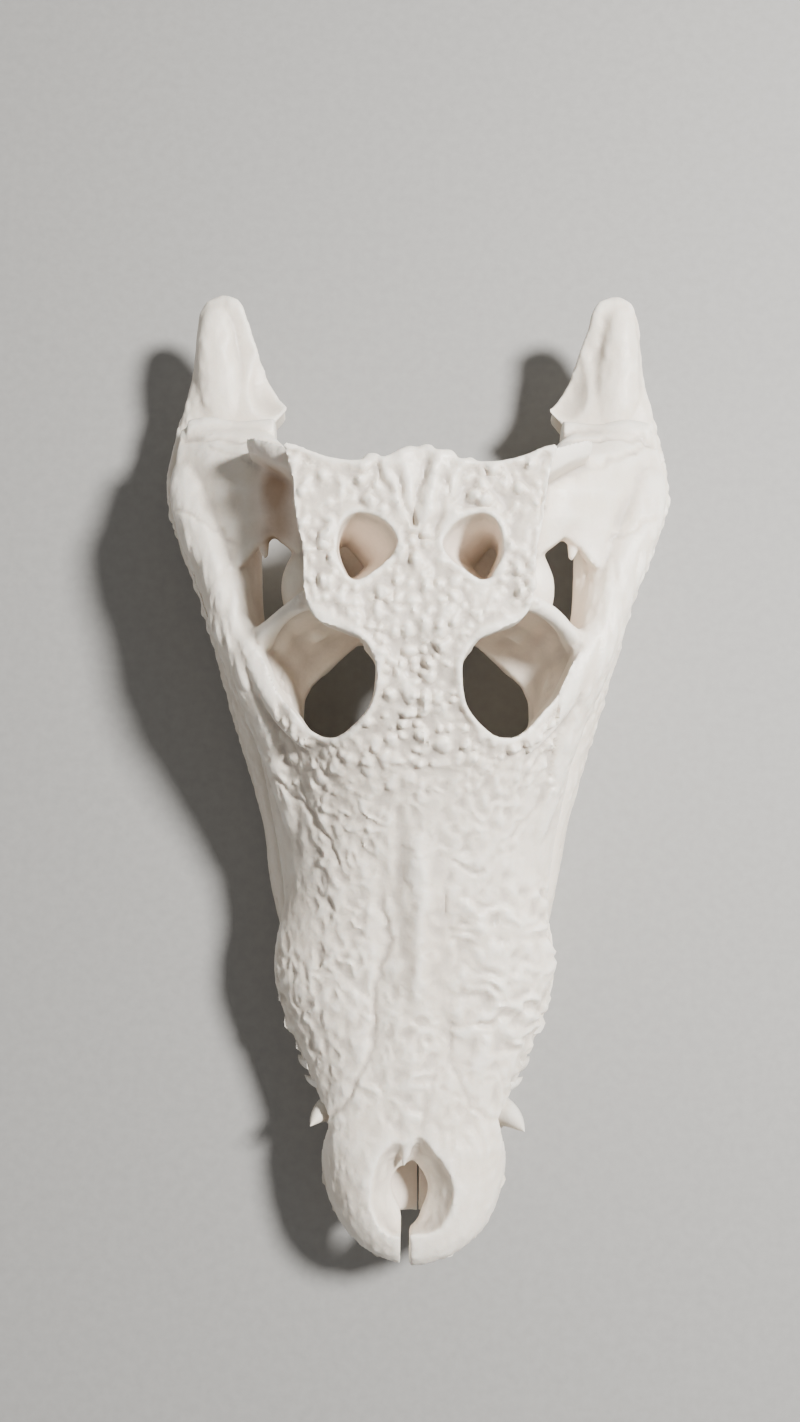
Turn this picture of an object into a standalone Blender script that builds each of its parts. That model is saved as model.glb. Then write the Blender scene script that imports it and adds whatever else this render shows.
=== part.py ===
# A crocodile skull with its lower jaw closed, lying on a flat surface: snout towards -Y, rear towards +Y.
# Sizes are in millimetres. A station is the distance behind the tip of the snout, a place is
# (across, station, height), and the heights start at the surface that the jaw rests on.

import math

import bmesh
import bpy
import numpy as np
from mathutils import Matrix, Vector, noise

MM = 0.001
LENGTH = 352.0  # tip of the snout to the tips of the lower jaw's rear processes
SEAM = 0.5  # half the gap between the two halves of the lower jaw
SEAM_ACROSS = 1.7  # where the seam at the chin lies
FINE = 1.7  # size of the grid on which overlapping forms are fused
BONE = (0.83, 0.80, 0.75)
BONE_ROUGHNESS = 0.55

CRANIUM_FACES = 4300
JAW_FACES = 1000

# Outline of the snout and cheeks from above: (station, half width).
FACE_WIDTH = (
    (0, 5), (2, 12), (7.5, 21.5), (17, 29), (25, 32), (33, 33.2), (40, 32.6), (46, 31), (53, 32.6),
    (60, 36), (70, 40.9), (80, 45.4), (90, 49.2), (101, 51.2), (112, 50.2), (125, 48), (138, 49.4),
    (160, 53.2), (180, 57.5), (200, 63), (212, 67),
)
# Profile along the middle of the roof, and along the edge that carries the teeth: (station, height).
FACE_TOP = (
    (0, 38), (3, 42), (10, 45.5), (22, 47.5), (35, 48), (50, 46.5), (70, 47.5), (90, 50.5), (110, 54.5),
    (130, 60), (150, 66), (165, 72.5), (180, 81), (195, 88.5), (212, 92.5),
)
TOOTH_EDGE = (
    (0, 32), (8, 29.5), (20, 27), (34, 28.5), (46, 36), (58, 31), (75, 27.5), (95, 30), (115, 34),
    (145, 33.5), (170, 36.5), (190, 40.5), (212, 45),
)
# How square the roof is from side to side, broad over the snout and sloping beside the orbits.
ROOF_POWER = ((0, 2.6), (60, 3.0), (110, 2.8), (150, 2.6), (180, 2.8), (212, 3.0))
ROOF_ROUND = ((0, 0.55), (60, 0.62), (110, 0.7), (150, 0.76), (180, 0.74), (212, 0.72))
PALATE_VAULT = 5.0
FACE_STEP = 4.0

# The roof between the orbits: (station, half width) and (station, height of the rims).
BROW_WIDTH = (
    (172, 26), (180, 22.5), (186, 19), (193, 15.6), (201, 14), (208, 15.2), (214, 19), (219, 25),
    (224, 31), (236, 33),
)
BROW_TOP = ((172, 71), (180, 78.5), (193, 88), (205, 93), (220, 96), (236, 98))
BROW_THICK = 9.0

# One side's outline of the skull table behind the orbits, and of the openings in it: (across, station).
TABLE_SIDE = (
    (0, 219), (20, 217.5), (31, 220.5), (36.5, 224.5), (39, 229), (37.5, 236), (37.3, 243), (39.8, 251),
    (40.8, 259), (42.5, 267), (44.5, 274.5), (40, 274.5), (32, 271.5), (23, 269.8), (14, 270.8),
    (9, 273.5), (4, 275.5),
)
TABLE_FRONT, TABLE_REAR = (219, 95.5), (275, 101)  # (station, height)
TABLE_THICK = 10.0
TEMPORAL_HOLE = (
    (26, 242), (24.2, 248), (19.3, 252), (13.5, 251), (9, 247), (7.1, 242), (10.5, 236.5), (16, 231.5),
    (22, 232.5),
)
ORBIT = (
    (14.2, 203), (15.5, 208), (20, 213), (27, 217), (34, 220), (46, 222), (54.5, 219), (55.2, 214),
    (51.6, 206.5), (47.3, 197.5), (41.2, 190), (37, 185.4), (31.5, 182.3), (26, 182.6), (20.6, 186.5),
    (15.8, 193),
)
# The openings in the palate below the orbits.
PALATE_HOLE = (
    (9, 206), (13.5, 213.5), (21, 218), (27, 213.5), (33, 207.5), (38, 204), (40.5, 199), (41, 192),
    (39.5, 184), (36, 174), (29, 165), (18, 164), (10, 172),
)
# Sections of the openings as (height, spread of the outline, outwards, rearwards).
TEMPORAL_LEVELS = ((54, 0.5, 5.4, -2.6), (78, 0.56, 4.6, -2.2), (91, 1.04, 0.4, -0.8), (120, 1.14, 0, -0.6))
ORBIT_LEVELS = ((50, 0.88, -5, 1), (67, 1, 0, 0), (130, 1, 0, 0))
PALATE_LEVELS = ((20, 1, 0, 0), (56, 1, 0, 0))
# Rounded hollows, as a centre and radii: behind the brow, and over the throat.
EYE_TUNNEL = ((0, 209, 58), (40, 30, 18))
THROAT = ((0, 236, 46), (54, 36, 44))
# The nostril is a funnel: its rim on the roof, its floor where it opens to the mouth, and a slot in front.
NOSTRIL_RIM = (
    (-2, 46), (3, 46.5), (8.2, 42), (12.3, 35), (14, 28.5), (13.4, 21.5), (11, 17), (4.5, 13.5),
    (-2, 13), (-9.5, 14), (-14, 18.5), (-15, 28.5), (-13.8, 37.5), (-8.5, 43),
)
NOSTRIL_FLOOR = (
    (-3.2, 34), (0, 35), (2.6, 31.5), (4.4, 28.5), (4.8, 25.5), (3.4, 19.5), (1.4, 15.5), (-1.2, 12.5),
    (-2.8, 12), (-4.4, 12.8), (-5.4, 17), (-7.6, 22.7), (-8.2, 28), (-5.8, 32),
)
NOSTRIL_HEIGHTS = (10, 36, 47.5, 60)
NOSTRIL_SLOT = ((-5.6, -4), (-1.4, -4), (-1.4, 16), (-4.8, 16))
NASAL_SPINE = (((-1, 52, 44), (5.5, 2.5)), ((-2.6, 43.5, 44.5), (3, 2.2)), ((-4.2, 35.5, 44), (0.9, 1)))

# Bars that run from place to place: (place, (half width, half height)).
CHEEK_BAR = (
    ((40, 150, 42), (6, 8)), ((47, 176, 49), (7.5, 10)), ((52.5, 192, 53), (8, 12.5)),
    ((59, 207, 56), (8, 13)), ((64.8, 222, 57.5), (8, 11)), ((69.2, 240, 57.5), (9, 9)),
    ((75.5, 257, 56.5), (10, 8)), ((79.5, 275, 54), (10, 7.5)),
)
EYE_POST = (
    ((35, 226, 92), (5, 5.5)), ((41.5, 224, 86), (3.4, 3.8)), ((48, 222, 77.5), (3.1, 3.6)),
    ((53.5, 220, 69), (3.8, 4.8)), ((59, 218.5, 61), (6, 7)),
)
SPUR = (((52.5, 256, 68), (2.6, 2.6)), ((52, 249, 68.5), (2, 2)), ((50.5, 244, 68.5), (1, 1)))
PALATE_BAR = (
    ((5, 150, 40), (9, 6)), ((4.5, 180, 41), (5.5, 5)), ((4.5, 205, 43), (5.5, 5)),
    ((6, 222, 47), (9, 7)),
)
MIDLINE_RIDGE = (
    ((1, 92, 49.5), (5, 2.4)), ((0.5, 120, 57), (5.5, 2.6)), ((0, 150, 65.5), (6, 2.6)),
    ((0, 180, 80), (6, 2.4)),
)
BROW_RIDGE = (
    ((27, 150, 56), (5, 4)), ((27, 160, 63), (5, 4)), ((27.5, 169, 69.5), (4.5, 3.8)),
    ((23, 177, 76), (3.5, 3)),
)

# The plate behind the cheek that carries the jaw joint: rows from front to rear, outwards in each.
JOINT_PLATE = (
    ((24, 243, 76), (38, 246, 72), (48, 249.5, 70), (57, 249, 67), (66, 245, 63), (73, 243, 60)),
    ((25, 256, 76), (38, 258, 70), (49, 260, 69), (60, 260, 66.5), (71, 259, 62), (81, 257, 58)),
    ((28, 268, 75), (40, 270, 68), (51, 274, 67), (62, 275, 64), (74, 275, 60), (86.5, 275, 55)),
    ((42, 275, 66), (47, 279, 63), (55, 283, 60.5), (65, 286, 58.5), (76, 287, 56), (88, 286, 52)),
    ((50, 289, 56), (54, 293, 54), (60, 296, 52.5), (68, 297, 52), (77, 298, 51.5), (87, 297, 49)),
)
JOINT_PLATE_THICK = 8.0
JOINT_ROLLER = (
    ((56.5, 294, 46.5), (5.2, 6.2)), ((66, 295.5, 48), (4.6, 5.2)), ((76, 296.5, 47.5), (5.4, 6)),
    ((84, 296, 47), (5, 5.6)),
)

# The wing of the palate that reaches back beside the throat: rows from the middle outwards.
PALATE_WING = (
    ((0, 208, 44), (12, 213.5, 43), (21.5, 218, 42), (32.5, 208, 42.5), (40.5, 200, 44), (54, 194, 47)),
    ((0, 220, 46), (12, 221.5, 43.5), (23, 224, 41.5), (34, 219, 42), (45, 212, 44), (61, 211, 49)),
    ((0, 236, 46), (12, 237, 40), (24, 238, 35.5), (35, 237, 33), (44, 233, 34), (53, 226, 41)),
    ((0, 250, 47), (11, 251, 39.5), (21, 251.5, 34), (31, 250.5, 28), (38, 248.5, 26), (43, 245, 28)),
)
PALATE_WING_THICK = 5.5
# The wall between the side of the braincase and the opening behind the eye post.
INNER_WALL = (
    ((20, 222, 84), (32, 220, 77), (41, 220, 68), (45, 221, 54)),
    ((18, 238, 82), (34, 238, 77), (44, 238, 69), (49, 238, 55)),
    ((20, 254, 80), (36, 254, 76), (46, 254, 70), (52, 252, 62)),
)
INNER_WALL_THICK = 5.0
# The steep wall below the side edge of the skull table.
SIDE_WALL = (
    ((38, 243, 92), (45, 244, 80), (50, 247, 67)),
    ((39, 256, 94), (46, 256, 80), (51, 257, 67)),
    ((41, 268, 95), (47, 269, 80), (51.5, 272, 65)),
)
SIDE_WALL_THICK = 9.0

BRAINCASE = (
    ((0, 224, 76), (15, 14)), ((0, 240, 72), (17, 20)), ((0, 256, 68), (20, 24)),
    ((0, 270, 70), (24, 21)),
)
BASE_PLATE = (
    ((0, 273, 62), (8, 5)), ((0, 269, 50), (13, 5)), ((0, 265, 38), (13.5, 4.5)),
    ((0, 262, 29), (8, 4)),
)
REAR_WALL = (
    ((-42, 267, 81), (6, 12)), ((-22, 265, 78), (6.5, 14)), ((0, 265, 76), (7, 17)),
    ((22, 265, 78), (6.5, 14)), ((42, 267, 81), (6, 12)),
)
TABLE_HORN = (
    ((38.5, 258, 90), (3.5, 4)), ((41, 266, 87), (4.5, 6.5)), ((43, 270.5, 82), (4.8, 8.5)),
    ((46, 276, 71), (5.5, 8)),
)
NECK_JOINT = ((0, 278, 62.5), (6.5, 7, 5.5))
SPINAL_OPENING = ((0, 276, 75.5), (6.5, 16, 6))

# Lower jaw: (station, (outer edge, inner edge, underside, upper edge)), and the share of its height at
# which its outer side bulges most.
JAW = (
    (11, (8, -6, 16, 22)), (13.5, (14.5, -6, 11, 24.5)), (18, (20.5, -6, 7.5, 25)),
    (25, (25.5, -6, 5, 24)), (33, (27.6, -6, 3, 24)), (42, (28.6, -5, 1.5, 27)),
    (50, (29.4, 3, 0.6, 27.5)), (60, (32.6, 17.5, 0, 23.5)), (75, (38.5, 25, -0.7, 21.5)),
    (90, (43.5, 31, -0.9, 22.5)), (105, (48.2, 35, -0.9, 24.5)), (120, (52.2, 38.5, -0.9, 26)),
    (133, (55, 41.5, -0.9, 27)), (151, (57.8, 45.5, -0.9, 28)), (173, (63.4, 51, -0.9, 31.5)),
    (194, (69.4, 56.5, -0.9, 36.5)), (218, (75.8, 62.5, -0.9, 42)), (241, (82.6, 67.5, -0.3, 42)),
    (260, (90.4, 69.5, 1.2, 40)), (277, (95, 67.5, 3.6, 37)), (291, (94, 59, 7, 36)),
    (302, (91.2, 53.2, 10.5, 36.5)), (311, (88.6, 52.5, 14, 38)), (320, (86.4, 56.5, 18, 37.5)),
    (331, (84.4, 61.5, 23, 38)), (342, (82.2, 66.3, 28, 41)), (349, (79.6, 70, 32.5, 43)),
    (352, (76.6, 73, 36, 41)),
)
JAW_STEP = 4.0
JAW_BULGE = ((11, 0.5), (60, 0.38), (150, 0.36), (200, 0.55), (240, 0.78), (300, 0.86), (352, 0.6))
JAW_LEAN = 0.4  # how far its upper edge leans inwards, as a share of its half width
TENDON_PIT = (
    ((66, 206, 44), (3.2, 12)), ((72, 228, 40), (4.5, 20)), ((78, 252, 39), (6, 22)),
    ((80, 276, 42), (6, 18)),
)
SIDE_WINDOW = ((76, 229, 23.5), (22, 15, 6.2))
JOINT_SOCKET = (
    ((48, 293, 46), (8, 9.3)), ((66, 295.5, 46.5), (8, 9)), ((84, 296.5, 46.5), (8, 9.3)),
    ((97, 296.5, 46.5), (8, 9.3)),
)
REAR_CREST = (
    ((70.5, 308, 37.5), (3, 4.5)), ((72, 322, 38), (2.6, 4)), ((74, 336, 40), (2.4, 3.5)),
    ((75.5, 346, 42.5), (3, 2.5)),
)
REAR_HOLLOWS = (((81.5, 324, 47), (5.5, 17, 10.5)), ((63.5, 319, 47), (6, 13, 11)))

# Teeth: (station, height of the crown).
UPPER_TEETH = (
    (3.5, 9), (9.5, 10), (17.5, 12.5), (27, 15), (36, 9), (54, 8), (60.5, 9), (67, 11.5), (74, 14),
    (82, 17.5), (91, 12.5), (99, 9.5), (106.5, 8), (114, 7.5), (122, 7.5), (130, 7), (138, 6.5),
    (146, 6),
)
LOWER_TEETH = (
    (15, 9), (22, 7), (30, 7), (51, 14.5), (58.5, 6.5), (63.5, 6.5), (70.5, 7), (78, 7.5), (86.5, 8),
    (95, 9), (102.5, 9), (110, 8), (118, 7.5), (126, 7), (134, 6),
)
FANG_STATION = 51  # the long lower tooth that shows in the notch of the snout
FANG_RADIUS = 4.8
FANG_ROOM = (
    ((22, 51, 26), (6.2, 6.2)), ((31, 49.5, 31), (6, 6)), ((36, 47.5, 36), (4.6, 4.6)),
    ((41, 46, 41), (2.5, 2.5)),
)
TOOTH_SLIM = 0.27  # base radius against the height of the crown
TOOTH_SIDES = 6
TOOTH_ROOT = 3.5


def clear_scene():
    for thing in list(bpy.data.objects):
        bpy.data.objects.remove(thing, do_unlink=True)


def point(across, station, height):
    return Vector((across, station - LENGTH / 2, height)) * MM


def along(profile, station):
    """The value of a (station, value) profile on a smooth curve through its points."""
    stations = np.array([row[0] for row in profile], float)
    values = np.array([row[1] for row in profile], float)
    slopes = np.gradient(values, stations, axis=0)
    i = int(np.clip(np.searchsorted(stations, station) - 1, 0, len(stations) - 2))
    span = stations[i + 1] - stations[i]
    t = min(max((station - stations[i]) / span, 0.0), 1.0)
    near = values[i] * (2 * t**3 - 3 * t**2 + 1) + values[i + 1] * (3 * t**2 - 2 * t**3)
    return near + span * (slopes[i] * (t**3 - 2 * t**2 + t) + slopes[i + 1] * (t**3 - t**2))


def stations_of(profile, step):
    first, last = profile[0][0], profile[-1][0]
    return np.linspace(first, last, max(2, round((last - first) / step) + 1))


def mirrored(places):
    return tuple((-place[0], *place[1:]) for place in places)


def helper(name, mesh):
    thing = bpy.data.objects.new(name, mesh)
    thing.hide_render = True
    thing.display_type = "WIRE"
    bpy.context.scene.collection.objects.link(thing)
    return thing


def from_bmesh(name, form):
    bmesh.ops.recalc_face_normals(form, faces=form.faces)
    if form.calc_volume(signed=True) < 0:
        bmesh.ops.reverse_faces(form, faces=form.faces)
    mesh = bpy.data.meshes.new(name)
    form.to_mesh(mesh)
    form.free()
    return helper(name, mesh)


def loft(name, rings):
    """A closed form through rings that all have the same number of places."""
    form = bmesh.new()
    rows = [[form.verts.new(point(*place)) for place in ring] for ring in rings]
    count = len(rows[0])
    for low, high in zip(rows, rows[1:]):
        for i in range(count):
            form.faces.new((low[i], low[(i + 1) % count], high[(i + 1) % count], high[i]))
    form.faces.new(rows[0][::-1])
    form.faces.new(rows[-1])
    return from_bmesh(name, form)


def bar(name, nodes, sides=12, pieces=6):
    """A rounded bar through ((across, station, height), (half width, half height)) nodes."""
    rows = [(i, np.array([*place, *size], float)) for i, (place, size) in enumerate(nodes)]
    steps = np.linspace(0, len(nodes) - 1, pieces * (len(nodes) - 1) + 1)
    path = [along(rows, step) for step in steps]
    rings = []
    for i, node in enumerate(path):
        ahead = path[min(i + 1, len(path) - 1)][:3] - path[max(i - 1, 0)][:3]
        forward = Vector(ahead).normalized()
        aside = forward.cross(Vector((0, 0, 1))).normalized()
        upward = aside.cross(forward)
        ring = []
        for k in range(sides):
            turn = 2 * math.pi * k / sides
            offset = aside * node[3] * math.cos(turn) + upward * node[4] * math.sin(turn)
            ring.append(tuple(Vector(node[:3]) + offset))
        rings.append(ring)
    return loft(name, rings)


def slab(name, rows, thick):
    """A curved plate: its upper side goes through the rows of places, its lower side lies thick below."""
    form = bmesh.new()
    across = range(len(rows[0]))
    upper = [[form.verts.new(point(*place)) for place in row] for row in rows]
    for a, b in zip(upper, upper[1:]):
        for i in across[:-1]:
            form.faces.new((a[i], b[i], b[i + 1], a[i + 1]))
    bmesh.ops.subdivide_edges(form, edges=form.edges, cuts=2, smooth=0.6, use_grid_fill=True)
    shell = bmesh.ops.extrude_face_region(form, geom=form.faces[:])
    lower = [part for part in shell["geom"] if isinstance(part, bmesh.types.BMVert)]
    bmesh.ops.translate(form, verts=lower, vec=(0, 0, -thick * MM))
    return from_bmesh(name, form)


def prism(name, outline, levels):
    """An upright form on an outline: (height, spread, outwards, rearwards) for each of its levels."""
    flat = np.array(outline, float)
    middle = flat.mean(axis=0)
    rings = []
    for height, spread, outwards, rearwards in levels:
        places = middle + (flat - middle) * spread + (outwards, rearwards)
        rings.append([(across, station, height) for across, station in places])
    return loft(name, rings)


def ball(name, centre, radii, detail=3):
    form = bmesh.new()
    bmesh.ops.create_icosphere(form, subdivisions=detail, radius=1.0)
    for vertex in form.verts:
        vertex.co = point(*(c + r * v for c, r, v in zip(centre, radii, vertex.co)))
    return from_bmesh(name, form)


def applied(thing):
    """Keeps what the modifiers make of an object as its own mesh."""
    graph = bpy.context.evaluated_depsgraph_get()
    mesh = bpy.data.meshes.new_from_object(thing.evaluated_get(graph))
    thing.modifiers.clear()
    thing.data = mesh
    return thing


def boolean(thing, other, operation):
    change = thing.modifiers.new(operation.title(), "BOOLEAN")
    change.operation = operation
    change.solver = "EXACT"
    change.object = other
    return change


def cut(thing, cutters):
    for cutter in cutters:
        boolean(thing, cutter, "DIFFERENCE")
    return applied(thing)


def fuse(name, things, grid):
    """Joins overlapping forms into one skin and softens the joins."""
    form = bmesh.new()
    for thing in things:
        form.from_mesh(thing.data)
    mesh = bpy.data.meshes.new(name)
    form.to_mesh(mesh)
    form.free()
    whole = helper(name, mesh)
    skin = whole.modifiers.new("Skin", "REMESH")
    skin.mode = "VOXEL"
    skin.voxel_size = grid * MM
    soften = whole.modifiers.new("Soften", "SMOOTH")
    soften.factor = 0.5
    soften.iterations = 5
    return applied(whole)


def face_ring(station):
    """A section of the snout: an arched roof over a shallow palate."""
    width, top, edge = along(FACE_WIDTH, station), along(FACE_TOP, station), along(TOOTH_EDGE, station)
    power, rounding = along(ROOF_POWER, station), along(ROOF_ROUND, station)
    ring = []
    for turn in np.linspace(0, math.pi, 33):
        share = math.cos(turn)
        lift = (1 - abs(share) ** power) ** rounding
        ring.append((width * share, station, edge + (top - edge) * lift))
    for share in np.linspace(-0.92, 0.92, 13):
        ring.append((width * share, station, edge + PALATE_VAULT * (1 - share**4)))
    return ring


def brow_ring(station):
    """A section of the roof between the orbits, a little hollow from side to side."""
    width, top = along(BROW_WIDTH, station), along(BROW_TOP, station)
    ring = []
    for share in np.linspace(-1, 1, 11):
        ring.append((width * share, station, top - 2.2 * (1 - share**2)))
    for share in np.linspace(1, -1, 7):
        ring.append((width * share * 0.93, station, top - BROW_THICK + 1.5 * share**2))
    return ring


def both_sides(make, name, *data):
    """The same form on the right and, mirrored, on the left."""
    right = make(f"{name}_right", *data)
    left = helper(f"{name}_left", right.data.copy())
    left.data.transform(Matrix.Diagonal((-1, 1, 1, 1)))
    left.data.flip_normals()
    return [right, left]


def make_nostril():
    rings = []
    for height, outline in zip(NOSTRIL_HEIGHTS, (NOSTRIL_FLOOR, NOSTRIL_FLOOR, NOSTRIL_RIM, NOSTRIL_RIM)):
        rings.append([(across, station, height) for across, station in outline])
    return loft("nostril_cut", rings)


def make_face():
    face = loft("face", [face_ring(station) for station in stations_of(FACE_WIDTH, FACE_STEP)])
    cutters = both_sides(prism, "orbit_cut", ORBIT, ORBIT_LEVELS)
    cutters += both_sides(prism, "palate_cut", PALATE_HOLE, PALATE_LEVELS)
    cutters += [ball("eye_tunnel", *EYE_TUNNEL), ball("throat_cut", *THROAT)]
    cutters += [make_nostril(), prism("slot_cut", NOSTRIL_SLOT, ((15, 1, 0, 0), (70, 1, 0, 0)))]
    return cut(face, cutters)


def make_table():
    outline = TABLE_SIDE + mirrored(TABLE_SIDE[:0:-1])
    slope = (TABLE_REAR[1] - TABLE_FRONT[1]) / (TABLE_REAR[0] - TABLE_FRONT[0])
    top = [(x, s, TABLE_FRONT[1] + slope * (s - TABLE_FRONT[0])) for x, s in outline]
    foot = [(x * 0.96, s, height - TABLE_THICK) for x, s, height in top]
    return loft("table", [foot, top])


def rigid_parts():
    """The forms of the skull that lie in the middle or come in pairs."""
    pairs = both_sides(bar, "cheek", CHEEK_BAR)
    pairs += both_sides(bar, "eye_post", EYE_POST)
    pairs += both_sides(bar, "spur", SPUR)
    pairs += both_sides(bar, "palate_bar", PALATE_BAR)
    pairs += both_sides(bar, "brow_ridge", BROW_RIDGE)
    pairs += both_sides(bar, "table_horn", TABLE_HORN)
    pairs += both_sides(bar, "joint_roller", JOINT_ROLLER)
    pairs += both_sides(slab, "joint_plate", JOINT_PLATE, JOINT_PLATE_THICK)
    pairs += both_sides(slab, "palate_wing", PALATE_WING, PALATE_WING_THICK)
    pairs += both_sides(slab, "side_wall", SIDE_WALL, SIDE_WALL_THICK)
    return pairs


def tooth_ring(form, base, tip, radius):
    """Adds one tooth, a curved cone from its root to its tip."""
    axis = tip - base
    aside = axis.cross(Vector((0, 1, 0))).normalized()
    forth = aside.cross(axis).normalized()
    rows = []
    for share, size in ((0, 1.0), (0.45, 0.8), (0.8, 0.42)):
        centre = base + axis * share
        row = []
        for k in range(TOOTH_SIDES):
            turn = 2 * math.pi * k / TOOTH_SIDES
            offset = (aside * math.cos(turn) + forth * math.sin(turn)) * radius * size
            row.append(form.verts.new((centre + offset) * MM))
        rows.append(row)
    peak = form.verts.new(tip * MM)
    for low, high in zip(rows, rows[1:]):
        for k in range(TOOTH_SIDES):
            form.faces.new((low[k], low[k - 1], high[k - 1], high[k]))
    for k in range(TOOTH_SIDES):
        form.faces.new((rows[-1][k], rows[-1][k - 1], peak))
    form.faces.new(rows[0])


def teeth(name, rows):
    """One form that holds all of a jaw's teeth: rows of (base place, tip place, radius)."""
    form = bmesh.new()
    for base, tip, radius in rows:
        low, high = (Vector((x, s - LENGTH / 2, z)) for x, s, z in (base, tip))
        tooth_ring(form, low, high, radius)
    return from_bmesh(name, form)


def upper_teeth():
    rows = []
    for side in (1, -1):
        for station, height in UPPER_TEETH:
            across = max(along(FACE_WIDTH, station) - 3.6, 5.5)
            edge = along(TOOTH_EDGE, station)
            radius = max(height * TOOTH_SLIM, 1.8)
            base = (side * across, station + 0.6, edge + TOOTH_ROOT)
            tip = (side * (across + 1.2), station + 1.5, edge - height + 1.5)
            rows.append((base, tip, radius))
    return teeth("upper_teeth", rows)


def lower_teeth(side):
    rows = []
    for station, height in LOWER_TEETH:
        outer, inner, _, upper = along(JAW, station)
        middle, half = (outer + inner) / 2, (outer - inner) / 2
        across = middle - JAW_LEAN * half if station > FANG_STATION else outer - 4.5
        fang = station == FANG_STATION
        radius = FANG_RADIUS if fang else max(height * TOOTH_SLIM, 1.7)
        lean, forward = (13.5, 5.0) if fang else (0.0, -0.8)
        base = (side * across, station, upper - TOOTH_ROOT - 1.5)
        tip = (side * (across + lean), station - forward, upper + height - 3.0)
        rows.append((base, tip, radius))
    return teeth("lower_teeth", rows)


def jaw_ring(station):
    """A section of one half of the lower jaw, widest low on its outer side."""
    outer, inner, under, upper = along([(s, np.array(row, float)) for s, row in JAW], station)
    middle, half = (outer + inner) / 2, (outer - inner) / 2
    height, bulge = upper - under, along(JAW_BULGE, station)
    ring = []
    for k in range(24):
        turn = 2 * math.pi * k / 24
        across, lift = math.cos(turn), math.sin(turn)
        squared = math.copysign(abs(across) ** 0.7, across)
        raised = math.copysign(abs(lift) ** 0.6, lift)
        level = under + height * (bulge + raised * (1 - bulge if raised > 0 else bulge))
        inward = JAW_LEAN * half * max(raised, 0) ** 2 * min(max(station - 50, 0) / 20, 1)
        ring.append((middle + half * squared - inward, station, level))
    return ring


def make_jaw(side, name):
    shape = loft("jaw", [jaw_ring(station) for station in stations_of(JAW, JAW_STEP)])
    crest = bar("rear_crest", REAR_CREST)
    cutters = [bar("tendon_cut", TENDON_PIT), bar("socket_cut", JOINT_SOCKET)]
    cutters.append(ball("window_cut", *SIDE_WINDOW))
    cutters += [ball(f"hollow_cut_{i}", *hollow) for i, hollow in enumerate(REAR_HOLLOWS)]
    shape = cut(shape, cutters)
    whole = fuse(f"{name}_skin", [shape, crest], FINE)
    if side < 0:
        whole.data.transform(Matrix.Diagonal((-1, 1, 1, 1)))
        whole.data.flip_normals()
    return finish(name, whole, JAW_FACES, lower_teeth(side), [seam_cutter(side), floor_cutter()])


def seam_cutter(side):
    near, far = SEAM_ACROSS + side * SEAM, SEAM_ACROSS - side * 60
    outline = ((near, -20), (far, -20), (far, 60), (near, 60))
    return prism("seam_cut", outline, ((-20, 1, 0, 0), (80, 1, 0, 0)))


def floor_cutter():
    outline = ((-150, -20), (150, -20), (150, LENGTH + 20), (-150, LENGTH + 20))
    return prism("floor_cut", outline, ((-40, 1, 0, 0), (0, 1, 0, 0)))


def bone_material(name):
    material = bpy.data.materials.new(name)
    material.use_nodes = True
    shader = material.node_tree.nodes["Principled BSDF"]
    shader.inputs["Base Color"].default_value = (*BONE, 1)
    shader.inputs["Roughness"].default_value = BONE_ROUGHNESS
    shader.inputs["Metallic"].default_value = 0.0
    return material


def lumpy(thing, size, height, lowest):
    """Raises and sinks the roof of the skull in lumps and pits."""
    normals = [vertex.normal.copy() for vertex in thing.data.vertices]
    for vertex, normal in zip(thing.data.vertices, normals):
        across, station, level = vertex.co / MM
        roof = min(max((normal.z - 0.35) / 0.4, 0), 1) * min(max((level - lowest) / 6, 0), 1)
        lump = noise.noise(Vector((across / size, station / (1.5 * size), level / size)))
        vertex.co += normal * (roof * height * lump * MM)
    return thing


def finish(name, skin, faces, tooth_form, cutters):
    """Thins the skin out to flat faces, sets the teeth in it, and makes the cuts that must stay flat."""
    thin = skin.modifiers.new("Facets", "DECIMATE")
    skin.data.calc_loop_triangles()
    thin.ratio = faces / len(skin.data.loop_triangles)
    applied(skin)
    boolean(skin, tooth_form, "UNION")
    for cutter in cutters:
        boolean(skin, cutter, "DIFFERENCE")
    whole = applied(skin)
    node = bpy.data.objects.new(name, whole.data)
    node.data.name = name
    node.data.materials.clear()
    node.data.materials.append(bone_material(f"{name}_bone"))
    node.data.shade_smooth()
    node.data.set_sharp_from_angle(angle=math.radians(40))
    bpy.context.scene.collection.objects.link(node)
    return node


def make_cranium():
    brow = loft("brow", [brow_ring(station) for station in stations_of(BROW_WIDTH, FACE_STEP)])
    walls = both_sides(slab, "inner_wall", INNER_WALL, INNER_WALL_THICK)
    holes = both_sides(prism, "temporal_cut", TEMPORAL_HOLE, TEMPORAL_LEVELS)
    brain = cut(bar("braincase", BRAINCASE), [ball("spinal_cut", *SPINAL_OPENING)])
    rear = cut(bar("rear_wall", REAR_WALL), [ball("spinal_cut", *SPINAL_OPENING)])
    forms = [cut(part, holes) for part in (make_table(), brain, brow, *walls)]
    forms += [make_face(), rear, bar("base_plate", BASE_PLATE), ball("neck_joint", *NECK_JOINT)]
    forms += [bar("midline_ridge", MIDLINE_RIDGE), bar("nasal_spine", NASAL_SPINE)]
    skin = fuse("cranium_skin", forms + rigid_parts(), FINE)
    lumpy(skin, 5.5, 2.2, 40)
    return finish("cranium", skin, CRANIUM_FACES, upper_teeth(), both_sides(bar, "fang_room", FANG_ROOM))


clear_scene()
make_cranium()
make_jaw(1, "mandible_right")
make_jaw(-1, "mandible_left")
for leftover in [thing for thing in bpy.data.objects if thing.hide_render]:
    bpy.data.objects.remove(leftover, do_unlink=True)
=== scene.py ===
import math

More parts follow.
